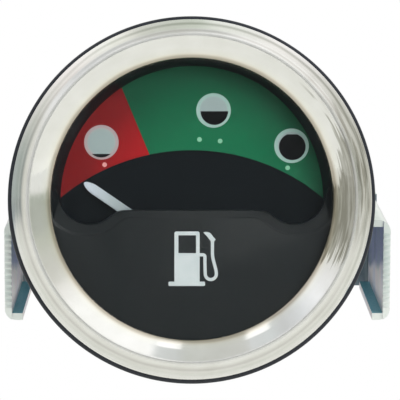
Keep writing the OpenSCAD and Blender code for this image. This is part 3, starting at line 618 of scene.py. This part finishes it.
for loop in (pump_outline, [(-2.24, -8.98), (0.68, -8.98), (0.68, -6.01), (-2.24, -6.01)]):
    corners = [pump.verts.new((x * MM, high.y, z * MM)) for x, z in loop]
    pump_edges += [pump.edges.new((corners[i], corners[i - 1])) for i in range(len(corners))]
bmesh.ops.triangle_fill(pump, edges=pump_edges, use_beauty=True, normal=(0, -1, 0))
bmesh.ops.dissolve_limit(pump, angle_limit=0.01, verts=pump.verts, edges=pump.edges)
raised = bmesh.ops.extrude_face_region(pump, geom=list(pump.faces), use_keep_orig=True)["geom"]
bmesh.ops.translate(pump, vec=(0, low.y - high.y, 0),
                    verts=[part for part in raised if isinstance(part, bmesh.types.BMVert)])
rim_edges = [e for e in pump.edges if e.calc_face_angle(0) > sharp_turn
             and abs(e.verts[0].co.y - e.verts[1].co.y) < weld]
bmesh.ops.bevel(pump, geom=rim_edges, offset=print_edge * MM, segments=2, affect="EDGES",
                clamp_overlap=True)
fit(pump, "pump_print", "pump_symbol", pump_white, 50, True)


# The window glass: a flat disc of clear float glass with ground edges, pressed against a black
# rubber ring by the bezel.
pane, shader, place = tree("clear_glass")
feed(shader, Base_Color=(0.97, 0.99, 0.98, 1), Transmission_Weight=1, IOR=1.5,
     Roughness=span(noise(place, 4), 0.0, 0.02))
nodes = pane.node_tree.nodes
lamp_ray = nodes.new("ShaderNodeLightPath").outputs["Is Shadow Ray"]
clear = nodes.new("ShaderNodeBsdfTransparent")
either = add("MixShader", lamp_ray, shader.outputs[0], clear.outputs[0])
feed(nodes["Material Output"], Surface=either.outputs[0])
pane_front, pane_back = -6.4, -4.4
ground_edge = ((0, 0), (12, 0), (24.9, 0), (25.0, 0), (25.2, 0.05), (25.35, 0.2))
pane_profile = [(r, pane_front + fall) for r, fall in ground_edge]
pane_profile += [(r, pane_back - fall) for r, fall in reversed(ground_edge)]
fit(solid_lathe(pane_profile), "window_glass", "glass", pane, 20, True)

rubber = finish(
    "rubber", [(0.005, 0.008, 0.017), (0.010, 0.014, 0.026)], (0.25, 0.42), patch=3, grain=0.2,
    depth=0.003)
rounded("glass_seal", rubber, 0.1)


# The gasket: a black rubber ring moulded with rounded edges, which seals the bezel to the panel.
# A thin parting line runs round its outer edge.
bead_x, bead_r = 30.39, 0.5
gasket_profile = [(26.5, 0.0)] + arc(bead_x, -bead_r, bead_r, 90, 0, 10)
gasket_profile += [(30.89, -0.72), (30.86, -0.75), (30.89, -0.78)]
gasket_profile += arc(bead_x, -2 * bead_r, bead_r, 0, -90, 10)
gasket_profile += [(27.9, -1.5), (27.9, -2.0), (26.5, -2.0)]
fit(solid_lathe(gasket_profile, 240), "gasket_ring", "gasket", rubber, 60)


# The bezel: a ring spun from brass sheet, polished and chromium plated. Its lip is rolled over
# the glass, its face is dished, and turned ridges run round its outer band. Its back edge is
# curled in behind the case's flange to hold everything together.
def times(first, *others):
    """Several shares multiplied into one."""
    for other in others:
        first = combine("MULTIPLY", first, other)
    return first


# Colours by radius across the bezel. At the lip's edge a real nickel tint with painted shade from the
# rolled lip over it; on the outer band, painted reflections give dark lines on the ridges, different
# on the upper and lower side.
tone_in, tone_out = 23, 30
lip_tint_and_shade = [
    (23.35, (0.52, 0.47, 0.40)), (23.6, (0.58, 0.53, 0.46)), (23.82, (0.68, 0.64, 0.56)),
    (23.98, (0.86, 0.82, 0.74)), (24.15, (0.97, 0.95, 0.89)), (24.4, (1.0, 1.0, 0.97)),
    (25.2, (1.0, 1.0, 1.0)), (27.5, (1.0, 1.0, 1.0))]
upper_painted_reflections = lip_tint_and_shade + [
    (27.85, (0.80, 0.78, 0.77)), (28.15, (1.0, 1.0, 1.0)), (28.7, (0.98, 0.98, 0.97)),
    (29.08, (0.58, 0.59, 0.56)), (29.45, (1.0, 1.0, 1.0))]
lower_painted_reflections = lip_tint_and_shade + [
    (27.85, (1.0, 1.0, 0.99)), (28.35, (0.78, 0.77, 0.76)), (28.7, (0.97, 0.97, 0.96)),
    (29.0, (0.91, 0.92, 0.90)), (29.45, (1.0, 1.0, 1.0))]


def chrome_metal():
    """Polished plating: fine turning marks, a soft waviness, darker streaks on the right, a painted
    dark reflection on the dish's right side, and rings of painted light and shade.
    """
    mat, shader, place = tree("chrome")
    axes = split(place)
    turn = combine("ARCTAN2", axes["Z"], axes["X"])
    reach = distance(add("CombineXYZ", axes["X"], axes["Z"]).outputs[0], (0, 0, 0))
    ring = add("CombineXYZ", reach, turn, axes["Y"]).outputs[0]
    around = mat.node_tree.nodes.new("ShaderNodeCombineXYZ")
    feed(around, Y=turn)

    def tones(value, stops):
        """Colours at radii in mm, read by the given value."""
        return graded(span(value, 0, 1, tone_in, tone_out), [
            ((radius - tone_in) / (tone_out - tone_in), colour) for radius, colour in stops])

    marks = noise(ring, 0.16, 3.0, (1, 3, 1))
    plain = ramp(noise(place, 3.5, 4.0), [(0.84, 0.84, 0.82), (0.90, 0.90, 0.89)])
    streaks = noise(ring, 0.45, 3.0, (1, 0.45, 1))
    veins = noise(ring, 0.3, 2.0, (1, 0.8, 1))
    # Darker streaks over the outer dish at the upper right.
    right_streaks = times(span(streaks, 0.2, 0.98, 0.44, 0.60), span(turn, 1, 0, 0.3, 0.95),
                    span(turn, 0.1, 1, -0.32, -0.05), span(reach, 0, 1, 26.3, 27.3))
    tint = blend(right_streaks, plain, (0.45, 0.44, 0.40, 1))
    jag = span(veins, -0.09, 0.09, 0.35, 0.65)
    edge = combine("SUBTRACT", turn, span(reach, 0.06, 0.36, 24.5, 26.1))
    edge = combine("ADD", edge, jag)
    low_edge = combine("ADD", turn, jag)
    low_edge = combine("SUBTRACT", low_edge, span(reach, -0.03, 0.05, 24, 26.8))
    # Painted reflection: a dark, ragged patch on the right side of the dish, where the surroundings
    # mirrored in it are dark.
    film = span(combine("ADD", veins, streaks), 0.62, 1.0, 0.82, 1.12)
    painted_dark_reflection = times(span(edge, 1, 0, 0.0, 0.09), span(low_edge, 0, 1, -0.42, -0.36),
                   span(reach, 1, 0.1, 26.9, 27.3), film)
    scratch = times(span(reach, 0, 1, 26.0, 26.12), span(reach, 1, 0, 26.3, 26.42),
                    span(turn, 0.8, 0, 0.66, 0.84), span(veins, 0, 1, 0.42, 0.52),
                    span(turn, 0, 1, -0.1, 0))
    tint = blend(combine("MAXIMUM", painted_dark_reflection, scratch), tint, (0.335, 0.33, 0.29, 1))
    wander = noise(around.outputs[0], 1.0, 1.0, (1, 0.5, 1))
    # The radius that the painted rings follow wanders a little round the bezel.
    tone_reach = combine("ADD", reach, span(wander, -0.12, 0.12, 0.2, 0.8))
    # Painted reflections: the upper and lower rings are blended across the face from lower left to
    # upper right.
    toward_upper_right = add("VectorMath", place)
    toward_upper_right.operation = "DOT_PRODUCT"
    toward_upper_right.inputs[1].default_value = (0.6, 0, 0.8)
    rings = blend(span(toward_upper_right.outputs["Value"], 0, 1, -6, 22),
                  tones(tone_reach, lower_painted_reflections), tones(tone_reach, upper_painted_reflections))
    mixed = mat.node_tree.nodes.new("ShaderNodeMix")
    mixed.data_type = "RGBA"
    mixed.blend_type = "MULTIPLY"
    feed(mixed, Factor=1, A=tint, B=rings)
    dulled = times(span(reach, 0, 0.2, 26.6, 26.95), span(reach, 1, 0, 27.25, 27.5))
    gloss = combine("ADD", span(marks, 0.04, 0.10), span(reach, 0, 0.14, 26.9, 27.4))
    bumps = relief(noise(place, 5.0, 2.0), 0.012)
    feed(shader, Base_Color=mixed.outputs["Result"], Roughness=combine("ADD", gloss, dulled),
         Normal=relief(marks, 0.0010, bumps), Metallic=1)
    return mat


sight = 23.38
lip = 0.35
face_in, face_out = sight + 0.32, 26.72
band_in = 26.93
band_y, band_top = -4.8, -8.43
outer = 30.0
back_round = 0.3
crest_r = 0.9
crest = (27.115, -8.4)
grooves = ((0.30, 0.04), (0.46, 0.05), (0.68, 0.05))
profile = [(sight + lip, -6.4), (sight + 0.2, -6.43), (sight + 0.08, -6.55),
           (sight + 0.02, -6.7), (sight, -6.83), (sight + 0.015, -6.93),
           (sight + 0.06, -7.02), (sight + 0.13, -7.09), (sight + 0.22, -7.14)]
for i in range(65):
    t = i / 64
    valley = 0.012 * math.exp(-((face_out - face_in) * t - 0.5)**2 / 0.06)
    profile.append((face_in + (face_out - face_in) * t,
                    -7.175 - 1.135 * t + 0.5 * t * (1 - t) + valley))
profile += arc(crest[0], crest[1] + crest_r, crest_r, -114, -82, 8)
for i in range(97):
    t = i / 96
    a = math.radians(9 + 81 * t)
    h = -sum(depth * math.exp(-((t - at) / 0.04)**2) for at, depth in grooves)
    profile.append((band_in + (outer - band_in) * math.sin(a) + h * math.sin(a),
                    band_y + (band_top - band_y) * math.cos(a) - h * math.cos(a)))
profile += [(outer, -2.1)] + arc(outer - back_round, -1.8, back_round, 0, 90, 6)
profile += [(27.9, -1.5), (27.9, -2.0), (29.5, -2.0)]
profile += [(crest[0] + 2.3 * math.sin(a), band_y - 3.1 * math.cos(a))
            for a in [math.radians(90 - 10 * i) for i in range(10)]]
profile += [(face_in + 0.2, -6.6)]
fit(solid_lathe(profile, 360), "chrome_bezel", "bezel", chrome_metal(), 40)


# The studs: two steel screws with large flat heads inside the case and M4 threads behind it,
# zinc plated. A hexagon nut on each holds it tight in the case's back.
def thread(work, x, z, y0, y1, major, depth, pitch):
    """A rod with a helical V thread from y0 to y1 in mm."""
    around = 32
    per_turn = 6
    step = pitch / per_turn
    count = int((y1 - y0) / step)
    rows = []
    for j in range(count + 1):
        row = []
        for i in range(around):
            a = 2 * math.pi * i / around
            y = y0 + j * step
            phase = (y / pitch - i / around) % 1
            cut = depth * min(1, max(0, 1.25 * (1 - abs(2 * phase - 1)) - 0.12))
            ends = min(1, (y - y0) / pitch, 1 + (y1 - y) / pitch)
            r = major - cut * ends - 0.5 * max(0, y - (y1 - 0.5))
            row.append(turned(work, x, z, r, y, a))
        rows.append(row)
    for here, there in zip(rows, rows[1:]):
        bridge(work, here, there)
    work.faces.new(rows[0])
    work.faces.new(list(reversed(rows[-1])))


def add_lathe(work, profile, steps, x, z):
    """Adds a turned form to a mesh that holds others."""
    spare = bpy.data.meshes.new("spare")
    form = solid_lathe(profile, steps, x, z)
    form.to_mesh(spare)
    form.free()
    work.from_mesh(spare)
    bpy.data.meshes.remove(spare)


stud_x, stud_z = 15.0, -6.2
stud_r, stud_l = 2.0, 20
pitch, thread_depth = 0.7, 0.36
back_y = 30.0
studs = bmesh.new()
for side in (-1, 1):
    thread(studs, side * stud_x, stud_z, back_y, back_y + stud_l, stud_r, thread_depth, pitch)
    add_lathe(studs, [
        (0, 27.6), (3.3, 27.6), (3.4, 27.7), (3.4, 29.2), (stud_r, 29.2), (stud_r, back_y),
        (0, back_y)], 48, side * stud_x, stud_z)
fit(studs, "threaded_studs", "studs", bright, 40)


def hexagon(work, x, z, y0, y1, flats, bore):
    """A hexagon nut with its corners chamfered at the back."""
    around = 48
    facing = flats / 2 * 0.95
    rings = [[] for point in range(6)]
    for i in range(around):
        a = 2 * math.pi * i / around
        side = (a + math.pi / 6) % (math.pi / 3) - math.pi / 6
        hexed = flats / 2 / math.cos(side)
        drop = (hexed - facing) * 0.55
        profile = [(bore, y0), (hexed, y0), (hexed, y1 - drop), (facing, y1),
                   (bore + 0.25, y1), (bore, y1 - 0.25)]
        for ring, (r, y) in zip(rings, profile):
            ring.append(turned(work, x, z, r, y, a))
    for j in range(6):
        bridge(work, rings[j], rings[(j + 1) % 6])


nut_t, nut_flats = 2.2, 7.0
nuts = bmesh.new()
for side in (-1, 1):
    hexagon(nuts, side * stud_x, stud_z, back_y, back_y + nut_t, nut_flats, stud_r)
fit(nuts, "hexagon_nuts", "stud_nuts", bright, 30)


# The terminals: brass blades riveted through brown laminated insulators, inside and outside the
# case's back, with a small resistor across them inside. The earth blade is riveted straight to
# the case.
laminate = finish(
    "insulator", [(0.16, 0.065, 0.025), (0.23, 0.10, 0.04), (0.19, 0.08, 0.03)], (0.3, 0.45),
    patch=2, grain=0.2, depth=0.004, pull=(6, 1, 1), Coat_Weight=0.2)
for node in ("insulator_outer", "insulator_inner"):
    rounded(node, laminate, 0.1)
for node in ("terminal_blades", "earth_blade"):
    rounded(node, brass, 0.1)
for node in ("terminal_rivets", "earth_rivet"):
    rounded(node, brass, 0.25)


def banded(name):
    """A tan resistor body with painted rings, and bare tinned leads."""
    tin = (0.6, 0.6, 0.6)
    tan = (0.48, 0.34, 0.19)
    mat, shader, place = tree(name)
    half_l = 4
    rings = graded(span(split(place)["X"], 0, 1, -half_l, half_l), [
        (0.0, tin), (0.02, tan), (0.22, (0.30, 0.10, 0.03)), (0.30, tan),
        (0.42, (0.02, 0.02, 0.02)), (0.50, tan), (0.62, (0.45, 0.05, 0.03)), (0.70, tan),
        (0.98, tin)])
    rings.node.color_ramp.interpolation = "CONSTANT"
    fine = noise(place, 0.2)
    feed(shader, Base_Color=rings, Roughness=span(fine, 0.3, 0.45), Normal=relief(fine, 0.004))
    return mat


rounded("range_resistor", banded("resistor"), 0.2)


# The lamp: a sprung sleeve of plated steel that pushes into the case's back and holds a small
# bayonet bulb. Its blade is riveted through a brown insulator.
rounded("lamp_holder", bright, 0.12)
rounded("bulb_base", brass, 0.12)
rounded("lamp_insulator", laminate, 0.1)
rounded("lamp_blade", brass, 0.1)

bulb, shader, place = tree("bulb_glass")
feed(shader, Base_Color=(1, 0.98, 0.92, 1), Transmission_Weight=1, IOR=1.2,
     Roughness=span(noise(place, 2), 0.0, 0.06))
rounded("bulb_glass", bulb, 0.05, "bulb_envelope")


# The bracket: one strip of steel sheet blanked with toothed ends, folded into a C along each leg
# and bent into a U, then zinc plated and passivated, which tints it blue and lilac.
def passivated():
    """Zinc with a clear film in lilac and blue, and painted light: pale painted highlights on front
    and upward faces, painted shade on the legs' outer faces, the webs' upper part and the base's inner
    face, and a painted teal reflection inside the lower flanges.
    """
    mat, shader, place = tree("passivated_zinc")
    axes = split(place)
    facing = split(mat.node_tree.nodes.new("ShaderNodeTexCoord").outputs["Normal"])
    film = noise(place, 7, 2.5)
    lilac = ramp(film, [
        (0.78, 0.80, 0.97), (0.92, 0.88, 1.0), (1.0, 0.91, 0.97), (0.95, 0.95, 0.98)], 0.32, 0.68)
    grey = ramp(film, [(0.30, 0.37, 0.56), (0.46, 0.49, 0.78), (0.44, 0.53, 0.68)])
    # Painted shade: the webs' inner faces are grey-blue above and lilac below, where the gasket and
    # bezel shade their upper part.
    drop = combine("ADD", axes["Z"], span(film, -0.6, 0.6))
    inner_web_shade = blend(span(drop, 0, 1, -11.6, -10.2), lilac, grey)
    outer = ramp(film, [
        (0.44, 0.49, 0.62), (0.60, 0.62, 0.76), (0.72, 0.69, 0.76), (0.60, 0.66, 0.70)])
    low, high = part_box("bracket")
    aside = combine("SUBTRACT", axes["X"], (low.x + high.x) / MM / 2)
    # Painted shade: the legs' outward faces take darker tones than their inner faces.
    outward = times(aside, facing["X"])
    webs_lit_and_shaded = blend(span(outward, 1, 0, -20, -10), outer, inner_web_shade)
    # Painted highlight on faces toward the front, with painted shade on the base's inner face further
    # back.
    pale_highlight = ramp(film, [(0.74, 0.82, 0.81), (0.90, 0.94, 0.93)])
    cut = blend(span(axes["Y"], 0, 1, 20, 25), pale_highlight, (0.16, 0.21, 0.25, 1))
    colour = blend(span(facing["Y"], 0, 1, -0.15, -0.4), webs_lit_and_shaded, cut)
    # Painted highlight: upward faces in the upper part are pale.
    lit_upward_faces = times(span(facing["Z"], 0, 1, 0.5, 0.8), span(axes["Z"], 0, 1, -9, -8))
    colour = blend(lit_upward_faces, colour, pale_highlight)
    inner_x = (high.x - low.x) / MM / 2 - 1.2
    within = span(combine("ABSOLUTE", aside, 0), 1, 0, inner_x - 0.05, inner_x + 0.05)
    # Painted reflection and shade: upward faces inside the lower flanges are teal.
    below = times(span(facing["Z"], 0, 1, 0.25, 0.6), span(axes["Z"], 0, 1, -10, -13), within)
    rolled = noise(place, 0.25, 3.0, (1, 8, 1))
    metal = combine("MAXIMUM", span(drop, 0.12, 0.5, -11.6, -10.2), span(outward, 0.12, 0.5, -20, -10))
    feed(shader, Base_Color=blend(below, colour, (0.17, 0.50, 0.60, 1)),
         Roughness=span(rolled, 0.32, 0.48), Normal=relief(rolled, 0.003), Metallic=metal)
    return mat


rounded("bracket", passivated(), 0.12, "clamp_bracket")


# The washers and the thumb nuts: a plain washer and a split spring washer under each knurled
# brass nut, which is turned by hand to pull the bracket against the back of the panel.
low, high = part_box("washers")
y0, y1 = low.y / MM, high.y / MM
flat_rings = bmesh.new()
for side in (-1, 1):
    add_lathe(flat_rings, [
        (2.2, y0 + 0.1), (2.3, y0), (4.35, y0), (4.47, y0 + 0.05), (4.5, y0 + 0.2),
        (4.5, y1 - 0.2), (4.47, y1 - 0.05), (4.35, y1), (2.3, y1), (2.2, y1 - 0.1)],
        72, side * stud_x, stud_z)
fit(flat_rings, "flat_washers", "washers", bright, 40)

low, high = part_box("spring_washers")
y0, y1 = low.y / MM, high.y / MM
turns = 64
open_at = math.radians(90)
gap = math.radians(9)
sprung = bmesh.new()
for side in (-1, 1):
    rings = []
    for i in range(turns + 1):
        a = open_at + gap + (2 * math.pi - 2 * gap) * i / turns
        lift = 0.14 * (i / turns - 0.5)
        rings.append([turned(sprung, side * stud_x, stud_z, r, y + lift, a) for r, y in (
            (2.2, y0 + 0.15), (2.28, y0 + 0.08), (3.52, y0 + 0.08), (3.6, y0 + 0.15),
            (3.6, y1 - 0.15), (3.52, y1 - 0.08), (2.28, y1 - 0.08), (2.2, y1 - 0.15))])
    for here, there in zip(rings, rings[1:]):
        bridge(sprung, here, there)
    sprung.faces.new(rings[0])
    sprung.faces.new(list(reversed(rings[-1])))
fit(sprung, "split_washers", "spring_washers", bright, 40)

turned_brass = finish(
    "turned_brass", [(0.66, 0.48, 0.21), (0.76, 0.60, 0.31), (0.72, 0.54, 0.28)], (0.16, 0.32),
    patch=2.5, grain=0.12, depth=0.0015, Metallic=1)
knurls, ridge = 30, 0.32
neck_r = 4.2
for node, side in (("thumb_nut_left", -1), ("thumb_nut_right", 1)):
    low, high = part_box(node)
    y0, y1 = low.y / MM, high.y / MM

    def knurl(r, y, a):
        """Ridges on the grip, which fade out at its two chamfers."""
        if r < neck_r or y < y0 + 1.05:
            return r, y
        wave = abs(2 * ((a * knurls / (2 * math.pi)) % 1) - 1)
        return r - ridge * wave * min(1, (r - neck_r) / 0.8), y

    nut = solid_lathe([
        (2.05, y0 + 0.2), (2.25, y0), (3.85, y0), (4.0, y0 + 0.15), (4.0, y0 + 1.0),
        (neck_r, y0 + 1.02), (4.6, y0 + 1.06), (5.0, y0 + 1.35), (5.0, y1 - 0.4), (4.7, y1 - 0.06),
        (4.3, y1), (2.3, y1), (2.05, y1 - 0.25)],
        knurls * 8, side * stud_x, stud_z, knurl)
    fit(nut, node.replace("nut", "nut_knurled"), node, turned_brass, 30)


# The stage: a pale floor a little below the gauge, soft light from a white room with greyer
# patches for the chrome to mirror, and one large soft lamp at the upper right.
floor_r, floor_z = 1.4, -0.12
floor_mesh = bpy.data.meshes.new("floor")
slab = bmesh.new()
bmesh.ops.create_circle(slab, cap_ends=True, segments=96, radius=floor_r)
bmesh.ops.translate(slab, vec=(0, 0, floor_z), verts=slab.verts)
slab.to_mesh(floor_mesh)
slab.free()
floor_mesh.materials.append(finish(
    "floor", [(0.92, 0.92, 0.90), (0.95, 0.95, 0.93)], (0.6, 0.7), patch=60, grain=4, depth=0.02))
floor = bpy.data.objects.new("floor", floor_mesh)
bpy.context.scene.collection.objects.link(floor)
floor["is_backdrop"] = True

world = bpy.data.worlds.new("studio")
bpy.context.scene.world = world
world.use_nodes = True
nodes = world.node_tree.nodes
nodes.clear()
toward = split(nodes.new("ShaderNodeTexCoord").outputs["Generated"])
bearing = combine("ARCTAN2", toward["Z"], toward["X"])
front_panels = [
    (-180, (0.62, 0.62, 0.57)), (-174, (0.62, 0.62, 0.57)), (-170.5, (0.70, 0.70, 0.66)),
    (-167, (0.78, 0.78, 0.75)), (-150, (0.78, 0.78, 0.75)), (-30, (0.76, 0.77, 0.74)),
    (-10, (0.74, 0.76, 0.73)), (-0.5, (0.76, 0.76, 0.72)), (0.8, (0.40, 0.43, 0.37)),
    (6, (0.41, 0.43, 0.38)), (13, (0.43, 0.45, 0.40)), (17, (0.51, 0.53, 0.46)),
    (27, (0.60, 0.60, 0.55)), (32, (0.65, 0.65, 0.60)), (36, (0.82, 0.81, 0.77)),
    (45, (0.98, 0.98, 0.95)), (74.5, (1.0, 1.0, 0.98)), (76.5, (0.63, 0.65, 0.64)),
    (84, (0.60, 0.62, 0.61)), (88, (0.57, 0.585, 0.55)), (109, (0.575, 0.58, 0.55)),
    (111, (0.66, 0.68, 0.68)), (119, (0.64, 0.67, 0.67)), (124, (0.57, 0.58, 0.58)),
    (132, (0.68, 0.70, 0.71)), (140, (0.88, 0.89, 0.90)), (148, (0.80, 0.80, 0.79)),
    (153, (0.70, 0.70, 0.67)), (156, (0.66, 0.66, 0.61)), (160, (0.64, 0.64, 0.59)),
    (174, (0.62, 0.62, 0.57)), (180, (0.62, 0.62, 0.57))]
side_panels = [
    (-180, (0.28, 0.31, 0.31)), (-175, (0.26, 0.30, 0.32)), (-170, (0.33, 0.38, 0.37)),
    (-165, (0.58, 0.59, 0.56)), (-158, (0.99, 0.98, 0.93)), (-147, (1.0, 1.0, 0.96)),
    (-138, (0.87, 0.87, 0.83)), (-128, (0.81, 0.82, 0.78)), (-112, (0.79, 0.79, 0.74)),
    (-98, (0.68, 0.68, 0.63)), (-80, (0.66, 0.65, 0.60)), (-55, (0.81, 0.81, 0.76)),
    (-38, (0.94, 0.94, 0.90)), (-20, (0.99, 1.0, 0.95)), (-12, (0.90, 0.90, 0.84)),
    (-5, (0.68, 0.68, 0.62)), (15, (0.62, 0.62, 0.56)), (25, (0.63, 0.63, 0.58)),
    (35, (0.68, 0.68, 0.63)), (45, (0.77, 0.76, 0.73)), (55, (0.90, 0.88, 0.86)),
    (63, (0.92, 0.90, 0.88)), (70, (0.80, 0.81, 0.77)), (83, (0.82, 0.84, 0.79)),
    (85.5, (0.55, 0.60, 0.52)), (107, (0.60, 0.61, 0.56)), (110.5, (0.82, 0.81, 0.75)),
    (117, (0.92, 0.94, 0.88)), (132, (0.90, 0.85, 0.84)), (142, (0.74, 0.73, 0.70)),
    (153, (0.56, 0.57, 0.53)), (165, (0.36, 0.40, 0.38))]
around = span(bearing, 0, 1, -math.pi, math.pi)


def wall(panels):
    """The colours of a wall round the gauge, each at its bearing in degrees."""
    return graded(around, [(angle / 360 + 0.5, colour) for angle, colour in panels])


away = combine("MULTIPLY", toward["Y"], -1)


def toward_axis(low, high):
    """How far a direction is within two angles from straight in front, in degrees."""
    return span(away, 0, 1, math.cos(math.radians(high)), math.cos(math.radians(low)))


room = wall(front_panels)
for start, end in ((76.5, 84.5), (110, 118.5)):
    here = times(
        span(bearing, 0, 1, math.radians(start - 1), math.radians(start)),
        span(bearing, 1, 0, math.radians(end), math.radians(end + 1)), toward_axis(35, 37))
    room = blend(here, room, (1.1, 1.1, 1.1, 1))
room = blend(toward_axis(15, 19), room, (0.38, 0.39, 0.39, 1))
room = blend(toward_axis(8, 11), room, (0.070, 0.075, 0.078, 1))
room = blend(toward_axis(57, 62), wall(side_panels), room)
soft = add("Background", room, Strength=1.12)
seen = nodes.new("ShaderNodeBackground")
feed(seen, Color=(1, 1, 1, 1))
by_camera = nodes.new("ShaderNodeLightPath").outputs["Is Camera Ray"]
choice = add("MixShader", by_camera, soft.outputs[0], seen.outputs[0])
feed(nodes.new("ShaderNodeOutputWorld"), Surface=choice.outputs[0])

lamp_data = bpy.data.lights.new("softbox", "AREA")
lamp_data.shape = "RECTANGLE"
lamp_data.size = 1.75
lamp_data.size_y = 1.5
lamp_data.energy = 32
softbox = bpy.data.objects.new("softbox", lamp_data)
softbox.location = (1.2, -2.8, 0.95)
softbox.visible_glossy = False
softbox.rotation_euler = (-softbox.location).to_track_quat("-Z", "Y").to_euler()
bpy.context.scene.collection.objects.link(softbox)

# The camera: straight in front, a little to the left of the gauge's axis and below it.
eye = Vector((-0.003, -0.42, -0.0095))
aim = Vector((0.00135, -0.005, -0.00014))
view_w, sensor_w = 0.06656, 36
camera_data = bpy.data.cameras.new("camera")
camera_data.lens = sensor_w * (aim - eye).length / view_w
camera = bpy.data.objects.new("camera", camera_data)
camera.location = eye
camera.rotation_euler = (aim - eye).to_track_quat("-Z", "Y").to_euler()
bpy.context.scene.collection.objects.link(camera)
bpy.context.scene.camera = camera
bpy.context.scene.view_settings.view_transform = "Standard"

low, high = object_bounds()
